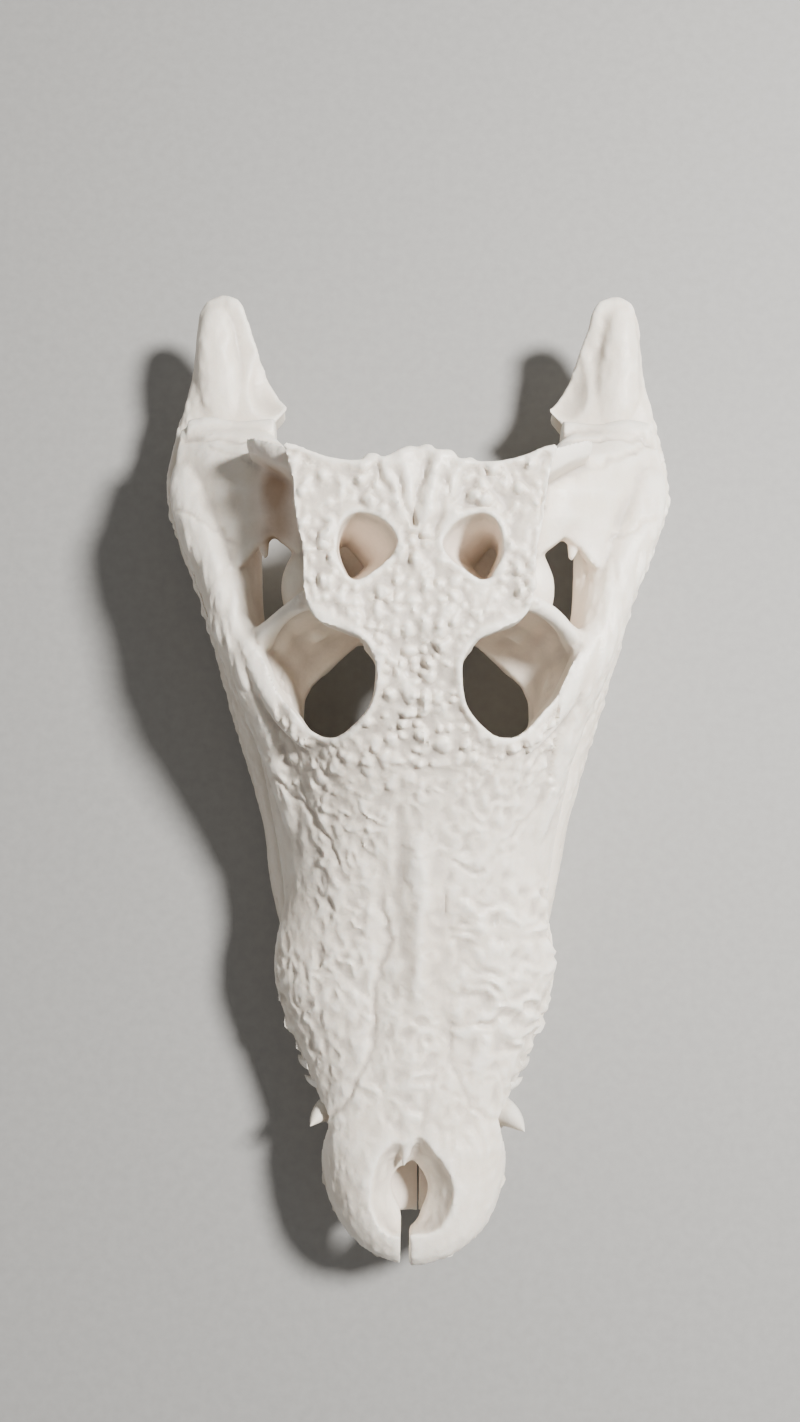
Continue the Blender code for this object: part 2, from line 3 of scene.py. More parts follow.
import bmesh
import bpy
import numpy as np
from mathutils import Matrix, Vector
from mathutils.bvhtree import BVHTree
from mathutils.kdtree import KDTree


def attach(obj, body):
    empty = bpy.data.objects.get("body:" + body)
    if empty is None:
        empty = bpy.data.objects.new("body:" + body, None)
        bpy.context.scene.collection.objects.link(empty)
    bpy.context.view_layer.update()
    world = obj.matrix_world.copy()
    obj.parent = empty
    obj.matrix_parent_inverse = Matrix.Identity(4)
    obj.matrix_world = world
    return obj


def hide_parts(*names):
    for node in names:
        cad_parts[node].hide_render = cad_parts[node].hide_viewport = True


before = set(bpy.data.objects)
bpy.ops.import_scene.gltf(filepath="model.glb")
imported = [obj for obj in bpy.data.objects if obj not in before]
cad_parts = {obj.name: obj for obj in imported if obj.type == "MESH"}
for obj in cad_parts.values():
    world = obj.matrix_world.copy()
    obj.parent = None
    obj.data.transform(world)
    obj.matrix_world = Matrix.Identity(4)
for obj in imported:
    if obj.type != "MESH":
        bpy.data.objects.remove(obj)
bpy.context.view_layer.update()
print("frame loaded")

mm = 0.001
skullLength = 352.0


def addObject(name, data):
    thing = bpy.data.objects.new(name, data)
    bpy.context.scene.collection.objects.link(thing)
    return thing


# view, light and floor, with lengths in metres
# the camera looks almost straight down, a little from the snout's side
view = {
    "place": (-0.006, -0.02814, 0.486), "tilt": 6.0, "roll": 0.4,
    "lens": 31.17, "sensor": 36.0, "nearest": 0.01, "farthest": 50,
}
lampAim = (0, 0.03, 0.05)
lamps = {
    "key": {"place": (0.6, 0.24, 0.9), "size": 0.2, "power": 33.0, "tint": (1.0, 0.97, 0.93)},
    "fill": {"place": (-0.75, -0.35, 0.85), "size": 1.1, "power": 0.8, "tint": (1.0, 0.86, 0.76)},
    "sky": {"strength": 0.24, "tint": (1.0, 0.985, 0.96)},
}
floorLook = {
    "size": 8.0, "tone": (0.35, 0.35, 0.345), "speck": (0.32, 0.32, 0.315), "roughness": 0.75,
    "grain": 260.0, "bump": 0.05, "bumpHeight": 0.0004,
}


def makeCamera():
    data = bpy.data.cameras.new("topCamera")
    data.sensor_width, data.lens = view["sensor"], view["lens"]
    data.clip_start, data.clip_end = view["nearest"], view["farthest"]
    camera = addObject("topCamera", data)
    tilt = Matrix.Rotation(math.radians(view["tilt"]), 4, "X")
    roll = Matrix.Rotation(math.radians(view["roll"]), 4, "Z")
    camera.matrix_world = Matrix.Translation(view["place"]) @ tilt @ roll
    bpy.context.scene.camera = camera


def makeLamp(name, place, size, power, tint):
    data = bpy.data.lights.new(name, "AREA")
    data.shape = "DISK"
    data.size, data.energy, data.color = size, power, tint
    lamp = addObject(name, data)
    lamp.location = place
    aim = Vector(lampAim) - Vector(place)
    lamp.rotation_euler = aim.to_track_quat("-Z", "Y").to_euler()


def makeSky(strength, tint):
    sky = bpy.data.worlds.new("softSky")
    sky.use_nodes = True
    shade = sky.node_tree.nodes["Background"]
    shade.inputs["Color"].default_value = (*tint, 1)
    shade.inputs["Strength"].default_value = strength
    bpy.context.scene.world = sky


class Nodes:
    # a short way to build a material out of nodes
    def __init__(self, name):
        self.material = bpy.data.materials.new(name)
        self.material.use_nodes = True
        self.tree = self.material.node_tree
        self.shader = self.tree.nodes["Principled BSDF"]
        self.spot = self.add("ShaderNodeTexCoord").outputs["Object"]

    def join(self, source, socket):
        if isinstance(source, bpy.types.NodeSocket):
            self.tree.links.new(source, socket)
        else:
            socket.default_value = source

    def add(self, kind, links=None, **settings):
        node = self.tree.nodes.new(kind)
        for key, value in settings.items():
            setattr(node, key, value)
        for socket, source in (links or {}).items():
            self.join(source, node.inputs[socket])
        return node

    def noise(self, scale, detail, roughness, spot=None):
        node = self.add("ShaderNodeTexNoise", {
            "Vector": spot or self.spot, "Scale": scale, "Detail": detail, "Roughness": roughness})
        return node.outputs["Fac"]

    def ramp(self, value, low, high, start=0.0, end=1.0):
        node = self.add("ShaderNodeMapRange", {
            "Value": value, "From Min": low, "From Max": high, "To Min": start, "To Max": end})
        return node.outputs["Result"]

    def blend(self, share, first, second, mode="MIX"):
        links = {0: share, 6: first, 7: second}
        return self.add("ShaderNodeMix", links, data_type="RGBA", blend_type=mode).outputs[2]

    def math(self, operation, first, second):
        return self.add("ShaderNodeMath", {0: first, 1: second}, operation=operation).outputs[0]

    def feed(self, socket, source):
        self.join(source, self.shader.inputs[socket])

    def bump(self, height, strength, distance):
        node = self.add("ShaderNodeBump", {"Height": height, "Strength": strength, "Distance": distance})
        self.feed("Normal", node.outputs["Normal"])


def makeFloor():
    bpy.ops.mesh.primitive_plane_add(size=floorLook["size"])
    floor = bpy.context.object
    floor.name = "floor"
    look = Nodes("paleFloor")
    spots = look.noise(floorLook["grain"], 4.0, 0.6)
    tone = look.blend(look.ramp(spots, 0.35, 0.7), (*floorLook["tone"], 1), (*floorLook["speck"], 1))
    look.feed("Base Color", tone)
    look.feed("Roughness", floorLook["roughness"])
    look.bump(spots, floorLook["bump"], floorLook["bumpHeight"])
    floor.data.materials.append(look.material)


makeCamera()
for lampName in ("key", "fill"):
    makeLamp(lampName, **lamps[lampName])
makeSky(**lamps["sky"])
makeFloor()
print("camera, lights and floor made")


# forms: closed meshes made from a few places
def point(across, station, height):
    return Vector((across, station - skullLength / 2, height)) * mm


def along(profile, station):
    # value of a (station, value) profile on a smooth curve through its points
    stations = np.array([row[0] for row in profile], float)
    values = np.array([row[1] for row in profile], float)
    slopes = np.gradient(values, stations, axis=0)
    i = int(np.clip(np.searchsorted(stations, station) - 1, 0, len(stations) - 2))
    span = stations[i + 1] - stations[i]
    t = min(max((station - stations[i]) / span, 0.0), 1.0)
    value = values[i] * (2 * t**3 - 3 * t**2 + 1) + values[i + 1] * (3 * t**2 - 2 * t**3)
    return value + span * (slopes[i] * (t**3 - 2 * t**2 + t) + slopes[i + 1] * (t**3 - t**2))


def stationsOf(profile, step):
    first, last = profile[0][0], profile[-1][0]
    return np.linspace(first, last, max(2, round((last - first) / step) + 1))


def roundedLine(outline, pieces=4):
    # a closed outline with smooth curves between its points
    spots = np.array(outline, float)
    before, after, beyond = np.roll(spots, 1, 0), np.roll(spots, -1, 0), np.roll(spots, -2, 0)
    line = []
    for i in range(len(spots)):
        for t in np.arange(pieces) / pieces:
            a = 2 * spots[i] + (after[i] - before[i]) * t
            b = (2 * before[i] - 5 * spots[i] + 4 * after[i] - beyond[i]) * t**2
            c = (3 * spots[i] - before[i] - 3 * after[i] + beyond[i]) * t**3
            line.append(tuple((a + b + c) / 2))
    return line


def store(name, form):
    mesh = bpy.data.meshes.new(name)
    form.to_mesh(mesh)
    form.free()
    return addObject(name, mesh)


def keep(name, form):
    bmesh.ops.recalc_face_normals(form, faces=form.faces)
    if form.calc_volume(signed=True) < 0:
        bmesh.ops.reverse_faces(form, faces=form.faces)
    return store(name, form)


def loft(name, rings):
    # a closed skin through rings that all have the same number of places
    form = bmesh.new()
    rows = [[form.verts.new(point(*place)) for place in ring] for ring in rings]
    count = len(rows[0])
    for low, high in zip(rows, rows[1:]):
        for i in range(count):
            form.faces.new((low[i], low[(i + 1) % count], high[(i + 1) % count], high[i]))
    form.faces.new(rows[0][::-1])
    form.faces.new(rows[-1])
    return keep(name, form)


def bar(name, nodes, sides=16, pieces=8):
    # a rounded bar through (place, (half width, half height)) nodes
    rows = [(i, np.array([*place, *size], float)) for i, (place, size) in enumerate(nodes)]
    steps = np.linspace(0, len(nodes) - 1, pieces * (len(nodes) - 1) + 1)
    path = [along(rows, step) for step in steps]
    rings = []
    for i, node in enumerate(path):
        ahead = path[min(i + 1, len(path) - 1)][:3] - path[max(i - 1, 0)][:3]
        forward = Vector(ahead).normalized()
        aside = forward.cross(Vector((0, 0, 1))).normalized()
        upward = aside.cross(forward)
        ring = []
        for k in range(sides):
            turn = 2 * math.pi * k / sides
            offset = aside * node[3] * math.cos(turn) + upward * node[4] * math.sin(turn)
            ring.append(tuple(Vector(node[:3]) + offset))
        rings.append(ring)
    return loft(name, rings)


def plate(name, rows, thick):
    # a curved plate whose upper side goes through the rows of places
    form = bmesh.new()
    upper = [[form.verts.new(point(*place)) for place in row] for row in rows]
    for a, b in zip(upper, upper[1:]):
        for i in range(len(a) - 1):
            form.faces.new((a[i], b[i], b[i + 1], a[i + 1]))
    bmesh.ops.subdivide_edges(form, edges=form.edges, cuts=4, smooth=0.7, use_grid_fill=True)
    shell = bmesh.ops.extrude_face_region(form, geom=form.faces[:])
    lower = [part for part in shell["geom"] if isinstance(part, bmesh.types.BMVert)]
    bmesh.ops.translate(form, verts=lower, vec=(0, 0, -thick * mm))
    return keep(name, form)


def block(name, outline, low, high):
    return loft(name, [[(across, station, height) for across, station in outline] for height in (low, high)])


def upright(name, outline, levels):
    # an upright form on an outline: (height, spread, outwards, rearwards) for each level
    flat = np.array(roundedLine(outline), float)
    middle = flat.mean(axis=0)
    rings = []
    for height, scale, outwards, rearwards in levels:
        places = middle + (flat - middle) * scale + (outwards, rearwards)
        rings.append([(across, station, height) for across, station in places])
    return loft(name, rings)


def bowl(name, base, rim, levels):
    # a form that widens from its base outline (share 0) to its rim outline (share 1)
    low, high = np.array(roundedLine(base)), np.array(roundedLine(rim))
    rings = []
    for height, share in levels:
        rings.append([(across, station, height) for across, station in low + (high - low) * share])
    return loft(name, rings)


def ball(name, centre, radii, detail=4):
    form = bmesh.new()
    bmesh.ops.create_icosphere(form, subdivisions=detail, radius=1.0)
    for vertex in form.verts:
        vertex.co = point(*(c + r * v for c, r, v in zip(centre, radii, vertex.co)))
    return keep(name, form)


def mirror(thing):
    thing.data.transform(Matrix.Diagonal((-1, 1, 1, 1)))
    thing.data.flip_normals()


def both(make, name, *data):
    # the same form on the right and, mirrored, on the left
    right = make(f"{name}Right", *data)
    left = addObject(f"{name}Left", right.data.copy())
    mirror(left)
    return [right, left]


def apply(thing):
    graph = bpy.context.evaluated_depsgraph_get()
    mesh = bpy.data.meshes.new_from_object(thing.evaluated_get(graph))
    thing.modifiers.clear()
    thing.data = mesh
    return thing


def change(thing, other, operation, solver="EXACT"):
    step = thing.modifiers.new(operation.title(), "BOOLEAN")
    step.operation, step.solver, step.object = operation, solver, other


def cut(thing, cutters):
    for cutter in cutters:
        change(thing, cutter, "DIFFERENCE")
    return apply(thing)


def fuse(name, things, grid, rounds):
    # joins forms that overlap into one fine skin and softens the joins
    form = bmesh.new()
    for thing in things:
        form.from_mesh(thing.data)
    whole = store(name, form)
    skin = whole.modifiers.new("Skin", "REMESH")
    skin.mode, skin.voxel_size = "VOXEL", grid * mm
    soften = whole.modifiers.new("Soften", "SMOOTH")
    soften.factor, soften.iterations = 0.5, rounds
    return apply(whole)


# relief: lumps, pits, streaks and sutures pushed into the fine skin
def spread(value, low, high):
    share = np.clip((value - low) / (high - low), 0.0, 1.0)
    return share * share * (3.0 - 2.0 * share)


def cellValue(cells, seed):
    mixed = cells[..., 0] * 73856093 ^ cells[..., 1] * 19349663 ^ cells[..., 2] * 83492791
    mixed = ((mixed ^ seed * 2654435761) & 0xFFFFFFFF) * 1274126177 & 0xFFFFFFFF
    mixed = (mixed ^ mixed >> 15) * 2246822519 & 0xFFFFFFFF
    return ((mixed ^ mixed >> 13) & 0xFFFFFF) / float(0xFFFFFF)


def softNoise(places, size, seed):
    # smooth noise from -1 to 1 whose lumps are about one size across
    grid = places / np.array(size)
    base = np.floor(grid).astype(np.int64)
    part = grid - base
    part = part**3 * (part * (part * 6 - 15) + 10)
    total = np.zeros(len(places))
    for corner in np.ndindex(2, 2, 2):
        weight = np.prod(np.where(corner, part, 1 - part), axis=1)
        total += weight * cellValue(base + corner, seed)
    return total * 2 - 1


def drift(places, size, seeds):
    # soft noise with a value for each seed, to move places by
    return np.stack([softNoise(places, size, seed) for seed in seeds], axis=1)


domeShape = {"radius": 0.54, "edge": 0.1, "free": 0.8, "low": -0.15, "high": 0.7}


def domes(places, size, seed):
    # rounded bumps on scattered spots, each with its own height from 0 to 1
    grid = places / size
    base = np.floor(grid).astype(np.int64)
    near, tall = np.full(len(places), 9.0), np.zeros(len(places))
    for step in np.ndindex(3, 3, 3):
        cell = base + step - 1
        spots = np.stack([cellValue(cell, seed + k) for k in (1, 2, 3)], axis=1)
        away = np.linalg.norm(grid - cell - domeShape["edge"] - domeShape["free"] * spots, axis=1)
        closer = away < near
        near[closer], tall[closer] = away[closer], cellValue(cell[closer], seed + 4)
    crowns = np.clip(1 - (near / domeShape["radius"]) ** 2, 0, 1)
    return crowns * spread(tall, domeShape["low"], domeShape["high"])


def lineDistance(spots, line):
    # distance of many spots to a line through points, and how far along the line each lies
    best = np.full(len(spots), 1e6)
    where = np.zeros(len(spots))
    line = np.array(line, float)
    for i, (a, b) in enumerate(zip(line, line[1:])):
        run = b - a
        share = np.clip((spots - a) @ run / max(run @ run, 1e-9), 0, 1)
        away = np.linalg.norm(spots - a - share[:, None] * run, axis=1)
        closer = away < best
        best[closer], where[closer] = away[closer], (i + share[closer]) / (len(line) - 1)
    return best, where


def groove(spots, line, width, depth):
    # a furrow along a line, fading at both ends
    away, where = lineDistance(spots, line)
    ends = np.clip(np.minimum(where, 1 - where) * 8, 0, 1)
    return -depth * np.exp(-(away / width) ** 2) * ends


def neighbours(mesh):
    # a function that averages a value of each vertex over the vertices around it
    edges = np.empty(len(mesh.edges) * 2, np.int64)
    mesh.edges.foreach_get("vertices", edges)
    ends, others = edges.reshape(-1, 2).T
    ends, others = np.concatenate([ends, others]), np.concatenate([others, ends])
    size = len(mesh.vertices)
    count = np.bincount(ends, minlength=size).clip(1)

    def around(values):
        if values.ndim == 1:
            return np.bincount(ends, values[others], size) / count
        return np.stack([around(column) for column in values.T], axis=1)

    return around


def readSkin(thing, rounds=0):
    # places and normals of a skin, the normals averaged over some rounds of neighbours
    mesh = thing.data
    places, normals = np.empty(len(mesh.vertices) * 3), np.empty(len(mesh.vertices) * 3)
    mesh.vertices.foreach_get("co", places)
    mesh.vertices.foreach_get("normal", normals)
    places, normals = places.reshape(-1, 3) / mm, normals.reshape(-1, 3)
    places[:, 1] += skullLength / 2
    around = neighbours(mesh)
    for _ in range(rounds):
        normals = around(normals)
    return places, normals / np.linalg.norm(normals, axis=1).clip(1e-6)[:, None]


def pushSkin(thing, places, normals, heights):
    moved = places + normals * heights[:, None]
    moved[:, 1] -= skullLength / 2
    thing.data.vertices.foreach_set("co", (moved * mm).ravel())
    thing.data.update()


def thin(thing, triangles):
    mesh = thing.data
    mesh.calc_loop_triangles()
    count = len(mesh.loop_triangles)
    if count > triangles:
        step = thing.modifiers.new("Thin", "DECIMATE")
        step.ratio = triangles / count
        apply(thing)
    print(f"  {thing.name}: {count} triangles before thinning")


# teeth
toothShape = {
    "upper": (  # station, height of the crown, outward lean
        (3.5, 9, 0.5), (9.5, 10, 1), (17.5, 12.5, 1.2), (27, 15, 1.4), (36, 9, 1), (54, 8, 1.2),
        (60.5, 9, 7.4), (67, 11.5, 7), (74, 14, 1.6), (82, 17.5, 1.6), (91, 12.5, 1.4), (99, 9.5, 1.2),
        (106.5, 8, 1.2), (114, 7.5, 1.2), (122, 7.5, 1.2), (130, 7, 1.2), (138, 6.5, 1.2), (146, 6, 1.2),
    ),
    "lower": (  # station, height of the crown
        (15, 9), (22, 7), (30, 7), (51, 14.5), (58.5, 6.5), (63.5, 6.5), (70.5, 7), (78, 7.5),
        (86.5, 8), (95, 9), (102.5, 9), (110, 8), (118, 7.5), (126, 7), (134, 6),
    ),
    "fangStation": 51, "fangRadius": {1: 6.6, -1: 5.4}, "fangTip": {1: (12.0, 5.0), -1: (9.6, 3.6)},
    "slim": 0.25, "least": 1.7, "root": 3.5, "upperInset": 3.6, "lowerInset": 4.5, "fangInset": 2.5,
    "sides": 14, "rows": 9, "taper": 1.35, "fullness": 0.8, "edge": 0.22, "point": 0.16,
    "flutes": 7, "flute": 0.03, "flatness": 0.94, "lastRow": 0.985, "upperCollar": 1.3, "lowerCollar": 1.35,
}


def toothRows(base, tip, radius, bend):
    # rings of a curved cone with a blunt point, a little narrower from front to rear
    axis = tip - base
    aside = axis.cross(Vector((0, 1, 0))).normalized()
    forth = aside.cross(axis).normalized()
    rings = []
    for i in range(toothShape["rows"]):
        share = i / (toothShape["rows"] - 1)
        full = max(1 - share ** toothShape["taper"], 0.0) ** toothShape["fullness"]
        size = max(radius * full + toothShape["edge"] * (1 - share), toothShape["point"])
        centre = base + axis * share * toothShape["lastRow"] + Vector(bend) * math.sin(math.pi * share)
        ring = []
        for k in range(toothShape["sides"]):
            turn = 2 * math.pi * k / toothShape["sides"]
            ridge = 1 + toothShape["flute"] * math.cos(toothShape["flutes"] * turn)
            offset = aside * math.cos(turn) * ridge + forth * math.sin(turn) * ridge * toothShape["flatness"]
            ring.append(centre + offset * size)
        rings.append(ring)
    return rings, tip


def makeTeeth(name, rows):
    form = bmesh.new()
    for base, tip, radius, bend in rows:
        rings, peak = toothRows(Vector(base), Vector(tip), radius, bend)
        rings = [[form.verts.new(point(*place)) for place in ring] for ring in rings]
        top = form.verts.new(point(*peak))
        count = toothShape["sides"]
        for low, high in zip(rings, rings[1:]):
            for k in range(count):
                form.faces.new((low[k], low[k - 1], high[k - 1], high[k]))
        for k in range(count):
            form.faces.new((rings[-1][k], rings[-1][k - 1], top))
        form.faces.new(rings[0])
    return keep(name, form)


# skull: the cranium with its upper teeth
skullShape = {
    "triangles": 184000, "grid": 0.8, "softening": 6, "step": 2.5,
    "width": (
        (0, 5), (2, 12), (7.5, 21.5), (17, 29), (25, 32), (33, 33.2), (40, 32.6), (46, 31), (53, 32.6),
        (60, 36), (70, 40.9), (80, 45.4), (90, 49.2), (101, 51.2), (112, 50.2), (125, 48), (138, 49.4),
        (160, 53.2), (180, 57.5), (200, 63), (212, 67),
    ),
    "top": (
        (0, 38), (3, 42), (10, 45.5), (22, 47.5), (35, 48), (50, 46.5), (70, 47.5), (90, 50.5),
        (110, 54.5), (130, 60), (150, 66), (165, 72.5), (180, 81), (195, 88.5), (212, 92.5),
    ),
    "toothEdge": (
        (0, 32), (8, 29.5), (20, 27), (34, 28.5), (46, 36), (58, 31), (75, 27.5), (95, 30), (115, 34),
        (145, 33.5), (170, 36.5), (190, 40.5), (212, 45),
    ),
    "roofPower": ((0, 2.6), (60, 3.0), (110, 2.8), (150, 2.6), (180, 2.8), (212, 3.0)),
    "roofRound": ((0, 0.55), (60, 0.62), (110, 0.7), (150, 0.76), (180, 0.74), (212, 0.72)),
    "palate": (
        (0, 35), (8, 34), (20, 32.5), (34, 33.5), (58, 35), (75, 33), (95, 35), (115, 39), (145, 38.5),
        (170, 41.5), (190, 45.5), (212, 50),
    ),
    "browWidth": (
        (172, 26), (180, 22.5), (186, 19), (193, 15.6), (201, 14), (208, 15.4), (212, 18.4), (215, 24),
        (219, 31.5), (224, 35), (236, 36),
    ),
    "browDip": ((172, 2.2), (200, 2.2), (210, 1.4), (219, 0.3), (236, 0.3)),
    "browTop": ((172, 71), (180, 78.5), (193, 88), (205, 93), (213, 94.6), (220, 95.6), (236, 97)),
    "browThick": 9.0,
    "tableSide": (
        (0, 217), (12, 215), (20.3, 213.6), (26, 215.6), (33.3, 218.8), (36.8, 224.5), (37.8, 230),
        (37.8, 240), (39.6, 248), (40.6, 256), (42, 266), (44.2, 274.5), (40, 274.5), (32, 271.5),
        (23, 269.8), (14, 270.2), (9, 272.2), (4, 273.4),
    ),
    "tableFront": (219, 95.5), "tableRear": (275, 101), "tableThick": 10.0,
    "temporal": {
        "rim": (
            (26.7, 240), (26.4, 246), (24.4, 250.8), (20.4, 253), (15, 252), (10.6, 249.4), (7.2, 243.6),
            (9.6, 238.6), (14.2, 234.6), (19, 231.6), (22.4, 231.8), (25.2, 235.6),
        ),
        "base": (
            (26, 243.5), (27.9, 247.6), (26.6, 250.2), (24.6, 249.8), (22.6, 247.6), (20.6, 245.4),
            (18.9, 243.2), (20, 241.8), (21.2, 240.6), (22.4, 239.4), (23.5, 238.8), (24.8, 241),
        ),
        "levels": (
            (40, 0), (62, 0), (69, 0.2), (76, 0.44), (83, 0.68), (89, 0.86), (94, 0.96), (98, 1), (120, 1.05),
        ),
    },
    "funnel": ((20, 243, 76), (19, 19.5, 17.5)),
    "funnelFloor": (((10, 248, 54), (9, 4)), ((22, 249, 53), (10, 4)), ((34, 249, 53), (8, 4))),
    "wallSwell": (
        ((34, 219, 52), (4, 5)), ((38.5, 228, 54), (7.6, 12)), ((39.5, 237, 56), (8.8, 15)),
        ((38, 246, 58), (7, 13)), ((36, 254, 60), (5, 10)),
    ),
    "orbit": {
        "rim": (
            (14.2, 203), (15.5, 208), (20, 213), (27, 217), (34, 220), (46, 222), (54.5, 219), (55.2, 214),
            (51.6, 206.5), (47.3, 197.5), (41.2, 190), (37, 185.4), (31.5, 182.3), (26, 182.6), (20.6, 186.5),
            (15.8, 193),
        ),
        "base": (
            (13, 203), (14, 208), (19, 213), (26, 217), (33, 220), (43, 221), (48, 218), (46.5, 213),
            (43.2, 206), (41.8, 197.5), (40.2, 190), (36.6, 185), (31.3, 181.5), (25.5, 182), (19.5, 186),
            (14.6, 193),
        ),
        "levels": ((42, 0), (48, 0.08), (54, 0.3), (59, 0.58), (64, 0.86), (68, 1), (130, 1)),
    },
    "palateHole": (
        (9, 206), (13.5, 213.5), (21, 218), (27, 213.5), (33, 207.5), (38, 204), (40.5, 199), (41, 192),
        (39.5, 184), (36, 174), (29, 165), (18, 164), (10, 172),
    ),
    "palateLevels": ((20, 1.05, 0, 0), (56, 1.05, 0, 0)),
    "eyeTunnel": ((0, 209, 58), (40, 30, 18)),
    "throat": ((0, 236, 46), (54, 36, 44)),
    "choana": ((0, 247, 38), (5, 6, 6)),
    "nostril": {
        "rim": (
            (-2.5, 43.5), (1.8, 46.4), (6.1, 41.6), (10.4, 36.5), (13.6, 30.4), (14.1, 24.5), (12.2, 18.4),
            (8, 14), (-2.4, 13), (-9.6, 12.9), (-14.9, 18.5), (-15.3, 28.5), (-12.8, 37.5), (-8.2, 43.2),
        ),
        "base": (
            (-3.6, 33.4), (-0.6, 35.2), (1.4, 33.6), (4.2, 29.6), (5.1, 26), (4.4, 22), (3.1, 19),
            (1.4, 15), (-1.4, 12.4), (-3.6, 12.6), (-5, 18.5), (-7.6, 24.6), (-7.4, 29.4), (-5.6, 32.6),
        ),
        "levels": (
            (10, 0), (36, 0), (38, 0.16), (40, 0.38), (42, 0.6), (44, 0.79), (46, 0.93), (48, 1.03),
            (60, 1.3),
        ),
    },
    "nostrilSlot": (((-4.9, -4), (-1.5, -4), (-1.5, 16), (-4.4, 16)), 15, 70),
    "nasalSpine": (
        ((-1, 54, 44.8), (6, 3)), ((-1.8, 45.5, 44.4), (3.1, 2.6)), ((-3, 39, 43.2), (1.7, 2)),
        ((-3.7, 34.6, 42), (0.7, 1.2)),
    ),
    "spinalOpening": ((0, 276, 75.5), (6.5, 16, 6)),
}
pairedBars = {
    "cheek": (
        ((40, 150, 42), (6, 8)), ((47, 176, 49), (7.5, 10)), ((52.5, 192, 53), (8, 12.5)),
        ((58.5, 207, 56), (8.6, 13)), ((64, 222, 57.5), (8.6, 11)), ((69.2, 240, 57.5), (9, 9)),
        ((75.5, 257, 56.5), (10, 8)), ((79.5, 272, 53.5), (10, 7)), ((80.5, 285, 49), (8, 4.5)),
    ),
    "eyePost": (
        ((32, 227.5, 88), (4.2, 4)), ((37.5, 226, 86), (3.1, 3.4)), ((44.5, 223.2, 79.5), (2.8, 3.2)),
        ((51, 219, 70.5), (3.4, 3.8)), ((57, 215, 60), (5.8, 6)),
    ),
    "cheekShelf": (
        ((55, 205, 50), (3, 5)), ((57.5, 214, 52), (4.6, 8)), ((60.5, 228, 52), (5.5, 8)),
        ((62, 239, 52), (6.5, 8)), ((64, 252, 52), (8, 7)),
    ),
    "orbitEdge": (
        ((36.5, 180, 71.5), (3, 3.4)), ((43.2, 187.6, 68), (4, 4.8)), ((49.6, 196, 66.8), (4.2, 5)),
        ((54.4, 205.2, 66.6), (4.4, 5)), ((58.2, 213.5, 65.6), (4.8, 5)), ((63.8, 225, 61.5), (5.4, 6)),
    ),
    "spur": (((54.5, 256, 64), (3, 2.6)), ((54, 250, 64.6), (1.9, 1.8)), ((53.2, 245.6, 64.6), (0.8, 0.9))),
    "palateBar": (
        ((5, 150, 40), (9, 6)), ((4.5, 180, 41), (5.5, 5)), ((4.5, 205, 43), (5.5, 5)),
        ((6, 222, 47), (9, 7)),
    ),
    "rearWing": (((6, 268.5, 76), (4, 8)), ((24, 268.5, 76), (4, 9)), ((42, 272, 74), (4.5, 9.5))),
    "baseKnob": (((5, 270, 52), (3, 3)), ((7, 268, 44), (3.5, 3.5)), ((6, 265, 37), (3, 3))),
    "jointRoller": (
        ((52.3, 296.2, 48), (4.8, 6)), ((66, 295.5, 48), (4.6, 5.2)), ((76, 296.5, 47.5), (5.4, 6)),
        ((84, 296, 47), (5, 5.6)),
    ),
}
